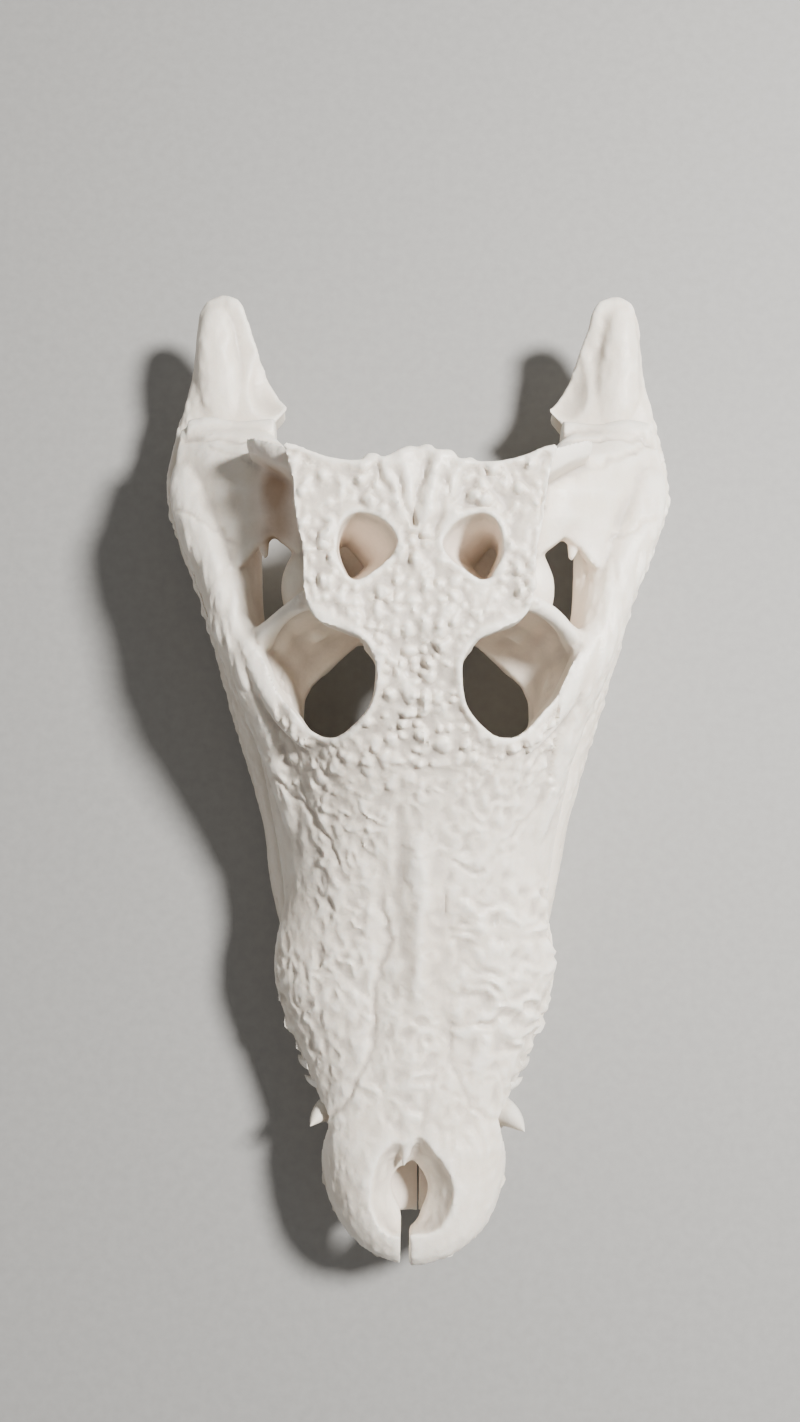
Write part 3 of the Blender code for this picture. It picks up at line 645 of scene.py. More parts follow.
pairedPlates = {
    "jointPlate": (6.8, (
        ((32, 243, 70), (41, 246, 70), (46, 249.5, 69.5), (50.5, 253, 69), (56, 249.5, 68), (61, 243.5, 66),
         (67, 240, 64), (74, 236, 60)),
        ((32, 256, 72), (42, 257, 74.5), (49.5, 258.5, 73.5), (55.5, 259, 71), (60, 258, 69), (66, 257, 66.5),
         (73, 256, 62.5), (81, 254, 58)),
        ((32, 267, 74), (43, 267, 76), (50.5, 268, 75), (56.5, 268.5, 72), (62, 269, 69.5), (69, 269.5, 65.5),
         (77, 270, 60.5), (86.5, 271, 55)),
        ((42, 277, 74), (47, 279, 72), (52, 280.5, 70), (57, 281.5, 68), (63, 283, 65), (70, 284, 61.5),
         (78, 285, 58), (88, 285, 52.5)),
        ((48.5, 288, 57), (51.5, 291.5, 56), (56, 294.5, 54.5), (60, 295.5, 53.5), (65, 296.5, 52.5),
         (72, 297.5, 52), (79, 298, 51.5), (87, 297, 49)),
    )),
    "horn": (25.0, (
        ((36, 263, 94), (38, 269, 95.5), (39.5, 273.5, 96.5)),
        ((43, 268.5, 92.5), (44.5, 273, 93), (45.5, 277, 93)),
        ((49, 272.5, 89), (50.5, 276.5, 89.5), (51.5, 280, 89)),
        ((54.5, 276, 84.5), (55.5, 279.5, 85), (56.5, 282.5, 84.5)),
        ((58.2, 278.5, 79.5), (58.8, 281.2, 80), (59, 283.5, 79.5)),
    )),
    "orbitBack": (4.5, (
        ((13.5, 214, 47), (15, 217, 60), (16, 219, 74), (17, 221, 88)),
        ((20.5, 219, 46.5), (22.5, 222, 55), (24.5, 224, 68), (26, 226, 86)),
        ((27.5, 213.2, 46), (31, 217.5, 50), (34.5, 222, 61), (37, 226.5, 86)),
        ((33.5, 207.6, 46), (38.6, 212.4, 48.8), (43.2, 217.8, 56.5), (46.5, 222.8, 76)),
        ((38, 203.4, 46), (42.6, 206.6, 48.5), (47.6, 210.8, 54), (52.5, 215.4, 63)),
        ((40.3, 198.5, 46), (43, 200, 49), (46, 201.8, 54.6), (49.6, 204, 63)),
        ((40.7, 192, 46), (42.4, 192.8, 49.5), (44.4, 193.6, 55), (47, 194.8, 63)),
        ((39.1, 184.5, 46), (40.3, 185, 50), (41.8, 185.6, 55), (44, 186.2, 63)),
    )),
    "palateWing": (5.5, (
        ((0, 206, 44), (10, 206, 43.5), (22, 208, 42), (33, 200, 42.5), (40.5, 192, 44), (52, 190, 47)),
        ((0, 220, 46), (12, 221.5, 43.5), (23, 224, 41.5), (34, 219, 42), (45, 212, 44), (61, 209, 49)),
        ((0, 236, 46), (12, 237, 40), (24, 238, 35.5), (35, 237, 33), (44, 233, 34), (53, 226, 41)),
        ((0, 250, 47), (11, 251, 39.5), (21, 251.5, 34), (31, 250.5, 28), (38, 248.5, 26), (43, 245, 28)),
    )),
    "sideWall": (9.0, (
        ((33, 242, 92), (38, 244, 78), (42.5, 247, 60)),
        ((35, 256, 94), (39.5, 257, 78), (43.5, 258, 58)),
        ((37, 268, 95), (41, 269, 80), (45.5, 271, 61)),
    )),
}
middleBars = {
    "braincase": (
        ((0, 224, 76), (15, 14)), ((0, 240, 72), (17, 20)), ((0, 256, 68), (20, 24)),
        ((0, 270, 70), (24, 21)),
    ),
    "basePlate": (
        ((0, 273, 62), (8, 5)), ((0, 269, 50), (13, 5)), ((0, 265, 38), (13.5, 4.5)),
        ((0, 262, 29), (8, 4)),
    ),
    "rearWall": (
        ((-42, 267, 81), (6, 12)), ((-22, 265, 78), (6.5, 14)), ((0, 265, 76), (7, 17)),
        ((22, 265, 78), (6.5, 14)), ((42, 267, 81), (6, 12)),
    ),
    "rearCrest": (((0, 273, 97), (3, 2.5)), ((0, 273.5, 91), (2.2, 2.5)), ((0, 272.5, 84), (2, 2))),
}
neckJoint = ((0, 278, 62.5), (6.5, 7, 5.5))
rearLobes = (
    ((-15.5, 269.8, 98), (3.4, 3, 2.6)), ((-3.2, 272, 98), (4.2, 3.2, 2.8)), ((2.2, 273, 98), (3, 2.9, 2.8)),
    ((8.6, 271.2, 98), (3.6, 3, 2.8)), ((16, 268.8, 98), (2.8, 2.9, 2.4)),
)
fangRoom = (
    ((22, 51.5, 25), (7.4, 7.4)), ((31, 50, 31), (6.8, 6.8)), ((36, 48, 36), (5.2, 5.2)),
    ((41, 46.4, 41), (2.9, 2.9)),
)


def faceRing(station):
    width, top = along(skullShape["width"], station), along(skullShape["top"], station)
    edge, palate = along(skullShape["toothEdge"], station), along(skullShape["palate"], station)
    power, rounding = along(skullShape["roofPower"], station), along(skullShape["roofRound"], station)
    ring = []
    for turn in np.linspace(0, math.pi, 49):
        share = math.cos(turn)
        lift = (1 - abs(share) ** power) ** rounding
        ring.append((width * share, station, edge + (top - edge) * lift))
    for share in np.linspace(-0.92, 0.92, 17):
        ring.append((width * share, station, edge + (palate - edge) * (1 - share**4)))
    return ring


def browRing(station):
    width, top = along(skullShape["browWidth"], station), along(skullShape["browTop"], station)
    dip = along(skullShape["browDip"], station)
    ring = [(width * share, station, top - dip * (1 - share**2)) for share in np.linspace(-1, 1, 15)]
    for share in np.linspace(1, -1, 9):
        ring.append((width * share * 0.93, station, top - skullShape["browThick"] + 1.5 * share**2))
    return ring


def makeFace():
    step = skullShape["step"]
    face = loft("face", [faceRing(station) for station in stationsOf(skullShape["width"], step)])
    orbit, nostril = skullShape["orbit"], skullShape["nostril"]
    cutters = both(bowl, "orbitCut", orbit["base"], orbit["rim"], orbit["levels"])
    cutters += both(upright, "palateCut", skullShape["palateHole"], skullShape["palateLevels"])
    cutters += [ball("eyeCut", *skullShape["eyeTunnel"]), ball("throatCut", *skullShape["throat"])]
    cutters.append(bowl("nostrilCut", nostril["base"], nostril["rim"], nostril["levels"]))
    cutters.append(block("slotCut", *skullShape["nostrilSlot"]))
    return cut(face, cutters)


def makeTable():
    side = skullShape["tableSide"]
    outline = roundedLine(side + tuple((-x, s) for x, s in side[:0:-1]), 3)
    (front, frontTop), (rear, rearTop) = skullShape["tableFront"], skullShape["tableRear"]
    slope = (rearTop - frontTop) / (rear - front)
    top = [(x, s, frontTop + slope * (s - front)) for x, s in outline]
    foot = [(x * 0.96, s, height - skullShape["tableThick"]) for x, s, height in top]
    return loft("table", [foot, top])


def upperTeeth():
    rows, collars = [], []
    for side in (1, -1):
        for station, height, lean in toothShape["upper"]:
            across = max(along(skullShape["width"], station) - toothShape["upperInset"], 5.5)
            edge = along(skullShape["toothEdge"], station)
            radius = max(height * toothShape["slim"], toothShape["least"])
            base = (side * across, station + 0.6, edge + toothShape["root"])
            tip = (side * (across + lean), station + 1.5, edge - height + 1.5)
            rows.append((base, tip, radius, (side * 0.5, -0.4, 0)))
            socket = (side * (across - 1), station + 0.6, edge + 1)
            collar = radius * toothShape["upperCollar"]
            collars.append(ball("collar", socket, (collar,) * 3, 2))
    return makeTeeth("upperTeeth", rows), collars


# what the surface of the skull shows: bumps and folds over the roof, streaks on the cheeks, and sutures
skullRelief = {
    "roughness": (
        (0, 0.35), (30, 0.45), (50, 0.7), (70, 1.05), (100, 1.15), (150, 1.35), (185, 2.1), (220, 2.35),
        (300, 2.3),
    ),
    "bump": 5.0, "small": 3.0,
    "roof": {"depth": 9, "sideDepth": 0.62, "rise": 0.14, "edge": (0, 5), "high": (58, 66)},
    "facing": ((-20, (-0.1, 0.35)), (175, (0.1, 0.5)), (262, (0.45, 0.85))),  # from which station, slopes
    "cheek": ((47, 53), (165, 182), (66, 74)),  # edges of the region: across, station, ceiling
    "joint": ((43, 48), (240, 250), (80, 88)),
    "tableEdge": ((30, 36), (215, 222), (86, 90)),  # across, station, floor
    "streaks": {"strength": 0.8, "less": 0.5, "lessFrom": (245, 262), "stretch": 2.8},
    "folds": {
        "size": (4.6, 5.2, 4.6), "fine": (3.1, 3.6, 3.1), "strength": 0.85,
        "share": 0.75, "rise": (20, 60), "fall": (150, 185),
    },
    "crossFolds": {  # on the right of the snout
        "across": (8, 16), "first": (62, 78), "last": (126, 142), "slant": 0.16,
        "noises": (((7, 2.2, 7), 0.6), ((6, 4, 6), 1.3)),  # size, height
    },
    "uneven": (((16, 22, 16), 0.45), ((8, 12, 8), 0.28)),  # size, height
    "raisedRim": (1.6, 1.3, 0.35),  # distance from the rim, width, height
    "calmMiddle": ((1, 6.5), (78, 100), (146, 168), 0.5),  # centre and width across, first, last, share
    "calmer": {  # share taken off, edges across, first stations, last stations
        "rightSnout": (0.35, (6, 16), (55, 75), (148, 172)),
        "snoutEdge": (0.65, (31, 39), (106, 118), (158, 175)),
        "tableMiddle": (0.7, (16, 9), (244, 252), (380, 400)),
    },
    "smoothRims": {"tableSide": 2.0, "tableRear": 0.6, "orbit": 0.0, "temporal": 0.6},  # less smooth by
    "lengthen": ((0, 1.6), (120, 1.5), (175, 1.35), (200, 1.1), (300, 1.0)),
    "sutures": (  # width, depth, places as (across, station)
        # on the snout and in front of the orbits
        (1.0, 0.9, ((-33, 49.5), (-29.7, 50.8), (-24.2, 55.6), (-20.1, 65.7), (-17, 69.5), (-15, 78),
                    (-14.6, 88), (-14, 97.9), (-10.9, 106.4), (-9.2, 112.5), (-11.8, 124.5), (-11.1, 134))),
        (0.8, 0.6, ((11.5, 86), (12.2, 75.7), (14.7, 66.2), (19.2, 55), (26.5, 51), (33, 49.5))),
        (0.7, 0.4, ((-15.6, 72.9), (-13.8, 65.8), (-7.1, 46.9))),
        (0.7, 0.4, ((9, 84), (7.5, 70), (4, 55.4), (1.6, 48))),
        (0.9, 0.8, ((-52, 170), (-49.3, 167.7), (-41.2, 162.2), (-35.1, 151.9), (-28.1, 143.7), (-25, 134))),
        (1.0, 0.9, ((-44, 184), (-42.5, 179.7), (-40.3, 168.6), (-37.7, 159), (-31.7, 149.5))),
        (0.8, 0.7, ((12.5, 141), (13.8, 140.3), (17.6, 138), (21.3, 137.3), (24, 139))),
        (0.7, 0.6, ((11.5, 136.9), (10.2, 132.8), (9.8, 127.4), (10, 120))),
        (0.8, 0.6, ((50, 170), (43, 162), (37, 153), (31, 146))),
        # furrows between the flutes at the rear of the table
        (1.3, 1.4, ((-2.4, 248), (-2, 252.3), (-0.1, 260.9), (3.4, 273))),
        (1.3, 1.4, ((3.4, 246), (4.5, 249.1), (6.7, 254), (8.3, 259.6), (9.4, 266))),
        (1.2, 1.2, ((-2, 248), (-2.6, 251.3), (-4.5, 254.9), (-6.2, 258.9), (-8, 266))),
        (1.6, 1.5, ((-10.5, 258), (-12, 263.8), (-14.3, 270))),
        (1.2, 1.2, ((9, 255), (12.5, 262), (15, 269))),
        # broad valleys beside the ridge of the snout
        (3.0, 0.9, ((-17, 62), (-14, 76), (-13, 92), (-10.5, 108), (-12.5, 124), (-13, 146))),
        (2.8, 0.9, ((-5.5, 104), (-6.8, 130), (-5.5, 160))),
        (3.4, 0.4, ((10, 60), (12, 80), (10, 104), (9.2, 128), (9.8, 154))),
        # on the cheeks and the joint plates
        (0.7, 0.5, ((-88, 264), (-84, 262.7), (-76.9, 258.8), (-69, 254.2), (-61.2, 248.2))),
        (0.7, 0.5, ((87, 262), (80, 260.5), (73, 256), (64, 250))),
        (0.8, 0.6, ((88, 294), (82.9, 292), (77.4, 287.2), (70.2, 283.5), (63.7, 279.4))),
        (0.8, 0.5, ((49.9, 273.7), (64.5, 279.2), (81.3, 289))),
        (0.7, 0.4, ((-49.9, 275), (-62, 281), (-78, 288))),
        (1.1, 0.9, ((-90, 292), (-80, 291.6), (-68, 290.4), (-56, 289.6), (-48, 288))),
        (1.1, 0.9, ((48, 290), (58, 291), (70, 292), (82, 292.6), (90, 290), (91, 282))),
    ),
    "ridges": (  # width, height, places: along the middle of the snout, and the fluted rear of the table
        (6.5, 1.3, ((-1.5, 50), (-0.6, 72), (0.4, 92), (1.2, 112), (0.8, 132), (1.2, 152))),
        (2.8, 1.4, ((-0.4, 92), (1.4, 104), (0.6, 116), (1.8, 128), (0.8, 140), (1.6, 154))),
        (2.2, 1.4, ((0.5, 247), (3.6, 261), (6.4, 274))),
        (2.2, 1.2, ((-1, 250), (-4, 263), (-6.6, 274))),
        (2.0, 1.0, ((6, 252), (11, 263), (15, 271))),
        (2.0, 1.0, ((-5, 252), (-9, 262), (-13.5, 271))),
    ),
    "ring": ((18.1, 145.8), 5.6, 2.0, 0.5),  # centre, radius, width, height
}


def drawnOut(stations, profile):
    # stations with the distances between them shortened by a (station, stretch) profile
    steps = np.arange(-10.0, 370.0)
    return np.interp(stations, steps, np.cumsum(1 / np.interp(steps, *zip(*profile))))


def rough(places, size, small, profile, seed):
    # large and small rounded bumps of the given sizes, lengthened from front to rear
    shape = places.copy()
    shape[:, 1] = drawnOut(places[:, 1], profile)
    shape = shape + drift(shape, (5, 5, 5), range(seed + 20, seed + 23)) * 0.8
    waves = softNoise(shape, (7, 7, 7), seed + 13) * 0.35
    large = np.interp(places[:, 1], (60, 170, 226, 240), (0.7, 1.0, 1.0, 1.35))
    lumps = domes(shape, size, seed) * large + domes(shape, small, seed + 7) * (1.5 - 0.8 * large)
    return lumps + waves - 0.5


def wrinkles(places, size, seed):
    # winding soft folds, from -1 to 1, out of two noises turned against each other
    turned = places @ np.array(Matrix.Rotation(0.9, 3, Vector((1, -2, 3))))
    bent = turned + drift(places, (7, 7, 7), range(seed + 1, seed + 4)) * 2.4
    mixed = softNoise(bent, size, seed) + 0.7 * softNoise(places + bent * 0.3, size * 0.8, seed + 4)
    return np.clip(1 - 2.6 * np.abs(mixed), -1, 1)


def band(values, rise, fall):
    # 1 between two soft edges and 0 beyond them
    return spread(values, *rise) * (1 - spread(values, *fall))


def rimDistance(mirrored):
    # distance from the smooth rims of the table and of its openings
    smooth, corner = skullRelief["smoothRims"], 11  # the place at the table's rear corner
    front, rear = skullShape["tableSide"][4:corner + 1], skullShape["tableSide"][corner:]
    rims = lineDistance(mirrored, front)[0] + smooth["tableSide"]
    rims = np.minimum(rims, lineDistance(mirrored, rear)[0] + smooth["tableRear"])
    for part in ("orbit", "temporal"):
        rim = skullShape[part]["rim"]
        rims = np.minimum(rims, lineDistance(mirrored, roundedLine(rim) + [rim[0]])[0] + smooth[part])
    return rims


def skullHeights(places, normals):
    x, s, z = places.T
    side, up = np.abs(x), normals[:, 2]
    outward = normals[:, 0] * np.sign(x)
    spots = places[:, :2]
    faceEnd, rearEnd = skullShape["top"][-1][0], skullShape["tableRear"][0]
    cover, streaky, fold = skullRelief["roof"], skullRelief["streaks"], skullRelief["folds"]
    topLine = np.interp(s, *zip(*skullShape["top"]))
    topLine += np.clip(s - faceEnd, 0, rearEnd - faceEnd) * cover["rise"]
    depth = np.where(s < faceEnd, cover["depth"] + cover["sideDepth"] * side, cover["depth"])
    roof = spread(z - (topLine - depth), *cover["edge"])
    onRoof = spread(z, *cover["high"])
    cheek, joint = (spread(side, *edge) * spread(s, *first) * (1 - spread(z, *ceiling))
                    for edge, first, ceiling in (skullRelief["cheek"], skullRelief["joint"]))
    facing = np.zeros(len(places))
    for station, slopes in skullRelief["facing"]:
        facing = np.where(s >= station, spread(up, *slopes), facing)
    across, first, floor = skullRelief["tableEdge"]
    tableEdge = spread(z, *floor) * spread(side, *across) * spread(s, *first)
    facing = np.maximum(facing, tableEdge * 0.3)

    # how rough each place is
    lateral = cheek * (streaky["strength"] - streaky["less"] * spread(s, *streaky["lessFrom"]))
    lateral *= np.maximum(spread(outward, 0.0, 0.4), spread(up, 0.2, 0.6))
    amount = np.interp(s, *zip(*skullRelief["roughness"])) * roof * facing
    smoothPlate = joint * (1 - spread(side, 74, 80))
    amount = np.where(cheek > 0.02, lateral * (1 - smoothPlate), amount * (1 - joint))
    for name, across in (("rightSnout", x), ("snoutEdge", side), ("tableMiddle", side)):
        share, edges, first, last = skullRelief["calmer"][name]
        amount *= 1 - share * spread(across, *edges) * band(s, first, last)
    rims = rimDistance(np.stack([side, s], axis=1))
    amount *= 1 - onRoof * (1 - spread(rims, 1.2, 3.6)) * 0.85
    amount *= 0.7 + 0.3 * spread(softNoise(places, (13, 13, 13), 15), -0.5, 0.3)
    (centre, width), first, last, share = skullRelief["calmMiddle"]
    amount *= 1 - np.exp(-((x - centre) / width) ** 2) * band(s, first, last) * share

    # bumps on the roof, folds on the snout, streaks on the cheeks
    sizes = skullRelief["bump"], skullRelief["small"]
    lumps = rough(places, *sizes, skullRelief["lengthen"], 3)
    folded = fold["share"] * (1 - spread(s, *fold["fall"])) * spread(s, *fold["rise"])
    folds = wrinkles(places, np.array(fold["size"]), 61) * 0.6
    folds += softNoise(places, fold["fine"], 67) * 0.5
    lumps = lumps * (1 - folded) + folds * folded * fold["strength"]
    streaks = rough(places, *sizes, [(station, streaky["stretch"]) for station in (0, 360)], 5)
    furrows = np.zeros(len(places))
    wander = drift(places, (4, 4, 4), (31, 32)) * 1.1
    for width, depth, line in skullRelief["sutures"]:
        furrows += groove(spots + wander, line, width, depth)
    amount = amount * (1 - np.clip(-furrows, 0, 0.75))
    heights = amount * np.where(cheek > 0.5, streaks, lumps)
    heights += furrows * spread(up, 0.1, 0.4) * np.maximum(roof, joint)

    # raised rims, ridges, a ring-shaped scar, folds across the right of the snout, and soft unevenness
    away, width, height = skullRelief["raisedRim"]
    raised = np.exp(-((rims - away) / width) ** 2) * spread(up, 0.3, 0.7) * spread(220 - s, -4, 4)
    heights += height * onRoof * raised
    for width, height, line in skullRelief["ridges"]:
        heights -= groove(spots, line, width, height) * spread(up, 0.2, 0.6) * roof
    centre, radius, width, height = skullRelief["ring"]
    ringAway = np.abs(np.linalg.norm(spots - centre, axis=1) - radius)
    heights += height * np.exp(-(ringAway / width) ** 2) * roof * facing
    cross = skullRelief["crossFolds"]
    crossed = spread(x, *cross["across"]) * band(s, cross["first"], cross["last"]) * facing
    flow = places + drift(places, (8, 8, 8), (55, 56, 57)) * 2.2
    flow[:, 1] += cross["slant"] * x
    (narrow, low), (broad, high) = cross["noises"]
    heights += crossed * (softNoise(flow, narrow, 51) * low + softNoise(flow, broad, 53) * high)
    (broad, high), (close, low) = skullRelief["uneven"]
    large = softNoise(places, broad, 41) * high + softNoise(places, close, 43) * low
    heights += large * (0.5 + 0.5 * facing) * (1 - 0.6 * (1 - spread(s, 40, 62)))
    return heights + softNoise(places, (1.4, 2.2, 1.4), 47) * (0.05 + 0.05 * facing)


def makeSkull():
    temporal, step = skullShape["temporal"], skullShape["step"]
    holes = both(bowl, "temporalCut", temporal["base"], temporal["rim"], temporal["levels"])
    opening = ball("spinalCut", *skullShape["spinalOpening"])
    bars = {name: bar(name, nodes) for name, nodes in middleBars.items()}
    for name in ("braincase", "rearWall"):
        bars[name] = cut(bars[name], [opening])
    brow = loft("brow", [browRing(station) for station in stationsOf(skullShape["browWidth"], step)])
    pierced = [makeTable(), bars.pop("braincase"), brow]
    pierced += both(ball, "funnel", *skullShape["funnel"]) + both(bar, "wallSwell", skullShape["wallSwell"])
    forms = [cut(form, holes) for form in pierced] + both(bar, "funnelFloor", skullShape["funnelFloor"])
    forms += [makeFace(), ball("neckJoint", *neckJoint), *bars.values()]
    forms += [bar("nasalSpine", skullShape["nasalSpine"])]
    for name, nodes in pairedBars.items():
        forms += both(bar, name, nodes)
    forms += [ball("rearLobe", *lobe, 3) for lobe in rearLobes]
    openings = both(upright, "palateCut", skullShape["palateHole"], skullShape["palateLevels"])
    for name, (thick, rows) in pairedPlates.items():
        plates = both(plate, name, rows, thick)
        forms += [cut(form, openings) for form in plates] if name == "palateWing" else plates
    teeth, collars = upperTeeth()
    skin = fuse("skullSkin", forms + collars, skullShape["grid"], skullShape["softening"])
    skin = cut(skin, [ball("choanaCut", *skullShape["choana"])])
    places, normals = readSkin(skin, 3)
    pushSkin(skin, places, normals, skullHeights(places, normals))
    thin(skin, skullShape["triangles"])
    for room in both(bar, "fangRoom", fangRoom):
        change(skin, room, "DIFFERENCE", "MANIFOLD")
    return finishPiece("skullBone", apply(skin), teeth)


# lower jaw: two halves that meet at the chin
jawShape = {
    "triangles": 88000, "grid": 0.8, "softening": 10, "step": 2.5, "seam": 0.32, "seamAcross": 1.7,
    "rows": (  # station, (outer edge, inner edge, underside, upper edge)
        (11, (8, -6, 16, 22)), (13.5, (14.5, -6, 11, 24.5)), (18, (20.5, -6, 7.5, 25)),
        (25, (25.5, -6, 5, 24)), (33, (27.6, -6, 3, 24)), (42, (28.6, -5, 1.5, 27)),
        (50, (29.4, 3, 0.6, 27.5)), (60, (32.6, 17.5, 0, 23.5)), (75, (38.5, 25, -0.7, 21.5)),
        (90, (43.5, 31, -0.9, 22.5)), (105, (48.2, 35, -0.9, 24.5)), (120, (52.2, 38.5, -0.9, 26)),
        (133, (55, 41.5, -0.9, 27)), (151, (57.8, 45.5, -0.9, 28)), (173, (63.4, 51, -0.9, 31.5)),
        (194, (69.4, 56.5, -0.9, 36.5)), (218, (75.8, 62.5, -0.9, 42)), (241, (82.6, 67.5, -0.3, 42)),
        (260, (90.4, 69.5, 1.2, 40)), (277, (95, 67.5, 3.6, 37)), (291, (94, 59, 7, 36)),
        (299, (92, 56.6, 9.5, 36.5)), (305, (90.4, 54.6, 11.5, 37)), (309.5, (89, 50.4, 13.4, 37.8)),
        (313.5, (88, 52.4, 15, 38)), (321, (86.2, 57, 18.6, 37.5)), (331, (85, 61, 23, 38)),
        (341, (83.8, 64.4, 28, 41)), (347, (82, 66.6, 31.5, 43)),
        (350.5, (79.5, 69.3, 34, 42.5)), (352, (77, 72, 36, 41)),
    ),
    "bulge": ((11, 0.5), (60, 0.38), (150, 0.36), (200, 0.55), (240, 0.78), (300, 0.86), (352, 0.6)),
    "lean": 0.4, "leanFrom": 50, "squareAcross": 0.7, "squareUp": 0.6,
    "tendonPit": (
        ((66, 206, 44), (3.2, 12)), ((72, 228, 40), (4.5, 20)), ((78, 252, 39), (6, 22)),
        ((80, 276, 42), (6, 18)),
    ),
    "window": ((76, 229, 23.5), (22, 15, 6.2)),
    "socket": (
        ((48, 293, 46), (8, 9.3)), ((66, 295.5, 46.5), (8, 9)), ((84, 296.5, 46.5), (8, 9.3)),
        ((97, 296.5, 46.5), (8, 9.3)),
    ),
    "rearCrest": (
        ((71.5, 298, 29), (9, 5)), ((74, 311, 33.5), (9.6, 6)), ((75.6, 325, 36), (8.4, 5.6)),
        ((76, 338, 39), (6.6, 4.4)), ((75.8, 346.5, 40), (5, 3.4)),
    ),
    "hollows": (
        ((55.5, 319, 47.5), (12.5, 22, 14)), ((76.5, 334, 53), (4.5, 13, 9.5)),
        ((1.5, 7.5, 20), (10, 7.5, 30)),
    ),
}
jawRelief = {
    "streak": (3.4, 2.2), "stretch": ((0, 2.6), (240, 2.6), (275, 1.7)),
    "front": 0.14, "rear": 0.55, "under": 0.12, "rearFrom": (140, 200), "smoothFrom": (300, 318),
    "uneven": (((14, 26, 14), 0.4), ((7, 12, 7), 0.2)),  # size, height
    "rearTip": ((300, 330), (3.5, 6, 3.5), 0.35),  # stations, size, height
    "sutures": (  # width, depth, places as (station, height) on the outer side
        (0.9, 0.6, ((150, 18), (175, 20), (200, 24), (212, 25))),
        (0.9, 0.6, ((246, 24), (262, 26), (285, 24), (305, 28))),
        (0.8, 0.5, ((120, 8), (160, 9), (205, 13))),
    ),
    "pores": {"from": 16, "to": 150, "step": 8.5, "height": 0.72, "depth": 0.8},
}


def jawEdges(station):
    return along([(s, np.array(row, float)) for s, row in jawShape["rows"]], station)


def jawRing(station):
    outer, inner, under, upper = jawEdges(station)
    middle, half = (outer + inner) / 2, (outer - inner) / 2
    height, bulge = upper - under, along(jawShape["bulge"], station)
    ring = []
    for k in range(32):
        turn = 2 * math.pi * k / 32
        across, lift = math.cos(turn), math.sin(turn)
        squared = math.copysign(abs(across) ** jawShape["squareAcross"], across)
        raised = math.copysign(abs(lift) ** jawShape["squareUp"], lift)
        level = under + height * (bulge + raised * (1 - bulge if raised > 0 else bulge))
        leaning = min(max(station - jawShape["leanFrom"], 0) / 20, 1)
        inward = jawShape["lean"] * half * max(raised, 0) ** 2 * leaning
        ring.append((middle + half * squared - inward, station, level))
    return ring


def lowerTeeth(side):
    rows, collars = [], []
    for station, height in toothShape["lower"]:
        outer, inner, _, upper = jawEdges(station)
        middle, half = (outer + inner) / 2, (outer - inner) / 2
        fang = station == toothShape["fangStation"]
        across = outer - toothShape["fangInset" if fang else "lowerInset"]
        if station > toothShape["fangStation"]:
            across = middle - jawShape["lean"] * half
        radius = max(height * toothShape["slim"], toothShape["least"])
        radius = toothShape["fangRadius"][side] if fang else radius
        lean, forward = toothShape["fangTip"][side] if fang else (0.0, -0.8)
        base = (side * across, station, upper - toothShape["root"] - 1.5)
        tip = (side * (across + lean), station - forward, upper + height - 3.0)
        bend = (side * 1.3, 1.2, -0.3) if fang else (side * 0.4, 0.4, 0)
        rows.append((base, tip, radius, bend))
        collar = radius * toothShape["lowerCollar"]
        collars.append(ball("collar", (across, station, upper - 2.6), (collar,) * 3, 2))
    return makeTeeth("lowerTeeth", rows), collars


def jawHeights(places, normals, seed):
    x, s, z = places.T
    outward = normals[:, 0] * np.sign(x)
    outer = spread(outward, 0.0, 0.5)
    rearHalf = spread(s, *jawRelief["rearFrom"])
    rear = jawRelief["rear"] * rearHalf * (1 - spread(s, *jawRelief["smoothFrom"]))
    amount = outer * (jawRelief["front"] + rear)
    amount += spread(-normals[:, 2], 0.3, 0.8) * jawRelief["under"] * rearHalf
    heights = amount * rough(places, *jawRelief["streak"], jawRelief["stretch"], seed)
    flat = places[:, 1:]
    wander = drift(places, (6, 6, 6), (seed + 1, seed + 2))
    for width, depth, line in jawRelief["sutures"]:
        heights += groove(flat + wander * 1.4, line, width, depth) * outer
    random, pores = np.random.default_rng(seed), jawRelief["pores"]
    for station in np.arange(pores["from"], pores["to"], pores["step"]):
        station = station + random.uniform(-2, 2)
        _, _, under, upper = jawEdges(station)
        height = under + (upper - under) * (pores["height"] + random.uniform(-0.12, 0.08))
        away = np.hypot(flat[:, 0] - station, (flat[:, 1] - height) * 1.2)
        size = random.uniform(0.8, 1.2)
        heights -= pores["depth"] * np.exp(-(away / size) ** 2) * outer
    (broad, tall), (close, short) = jawRelief["uneven"]
    heights += softNoise(places, broad, seed + 3) * tall + softNoise(places, close, seed + 4) * short
    stations, size, height = jawRelief["rearTip"]
    heights += spread(s, *stations) * height * softNoise(places, size, seed + 5)
    low = spread(z, 0.2, 2.5)  # the strip that it rests on stays flat
    return (heights + softNoise(places, (1.4, 2.4, 1.4), seed + 6) * 0.06) * low


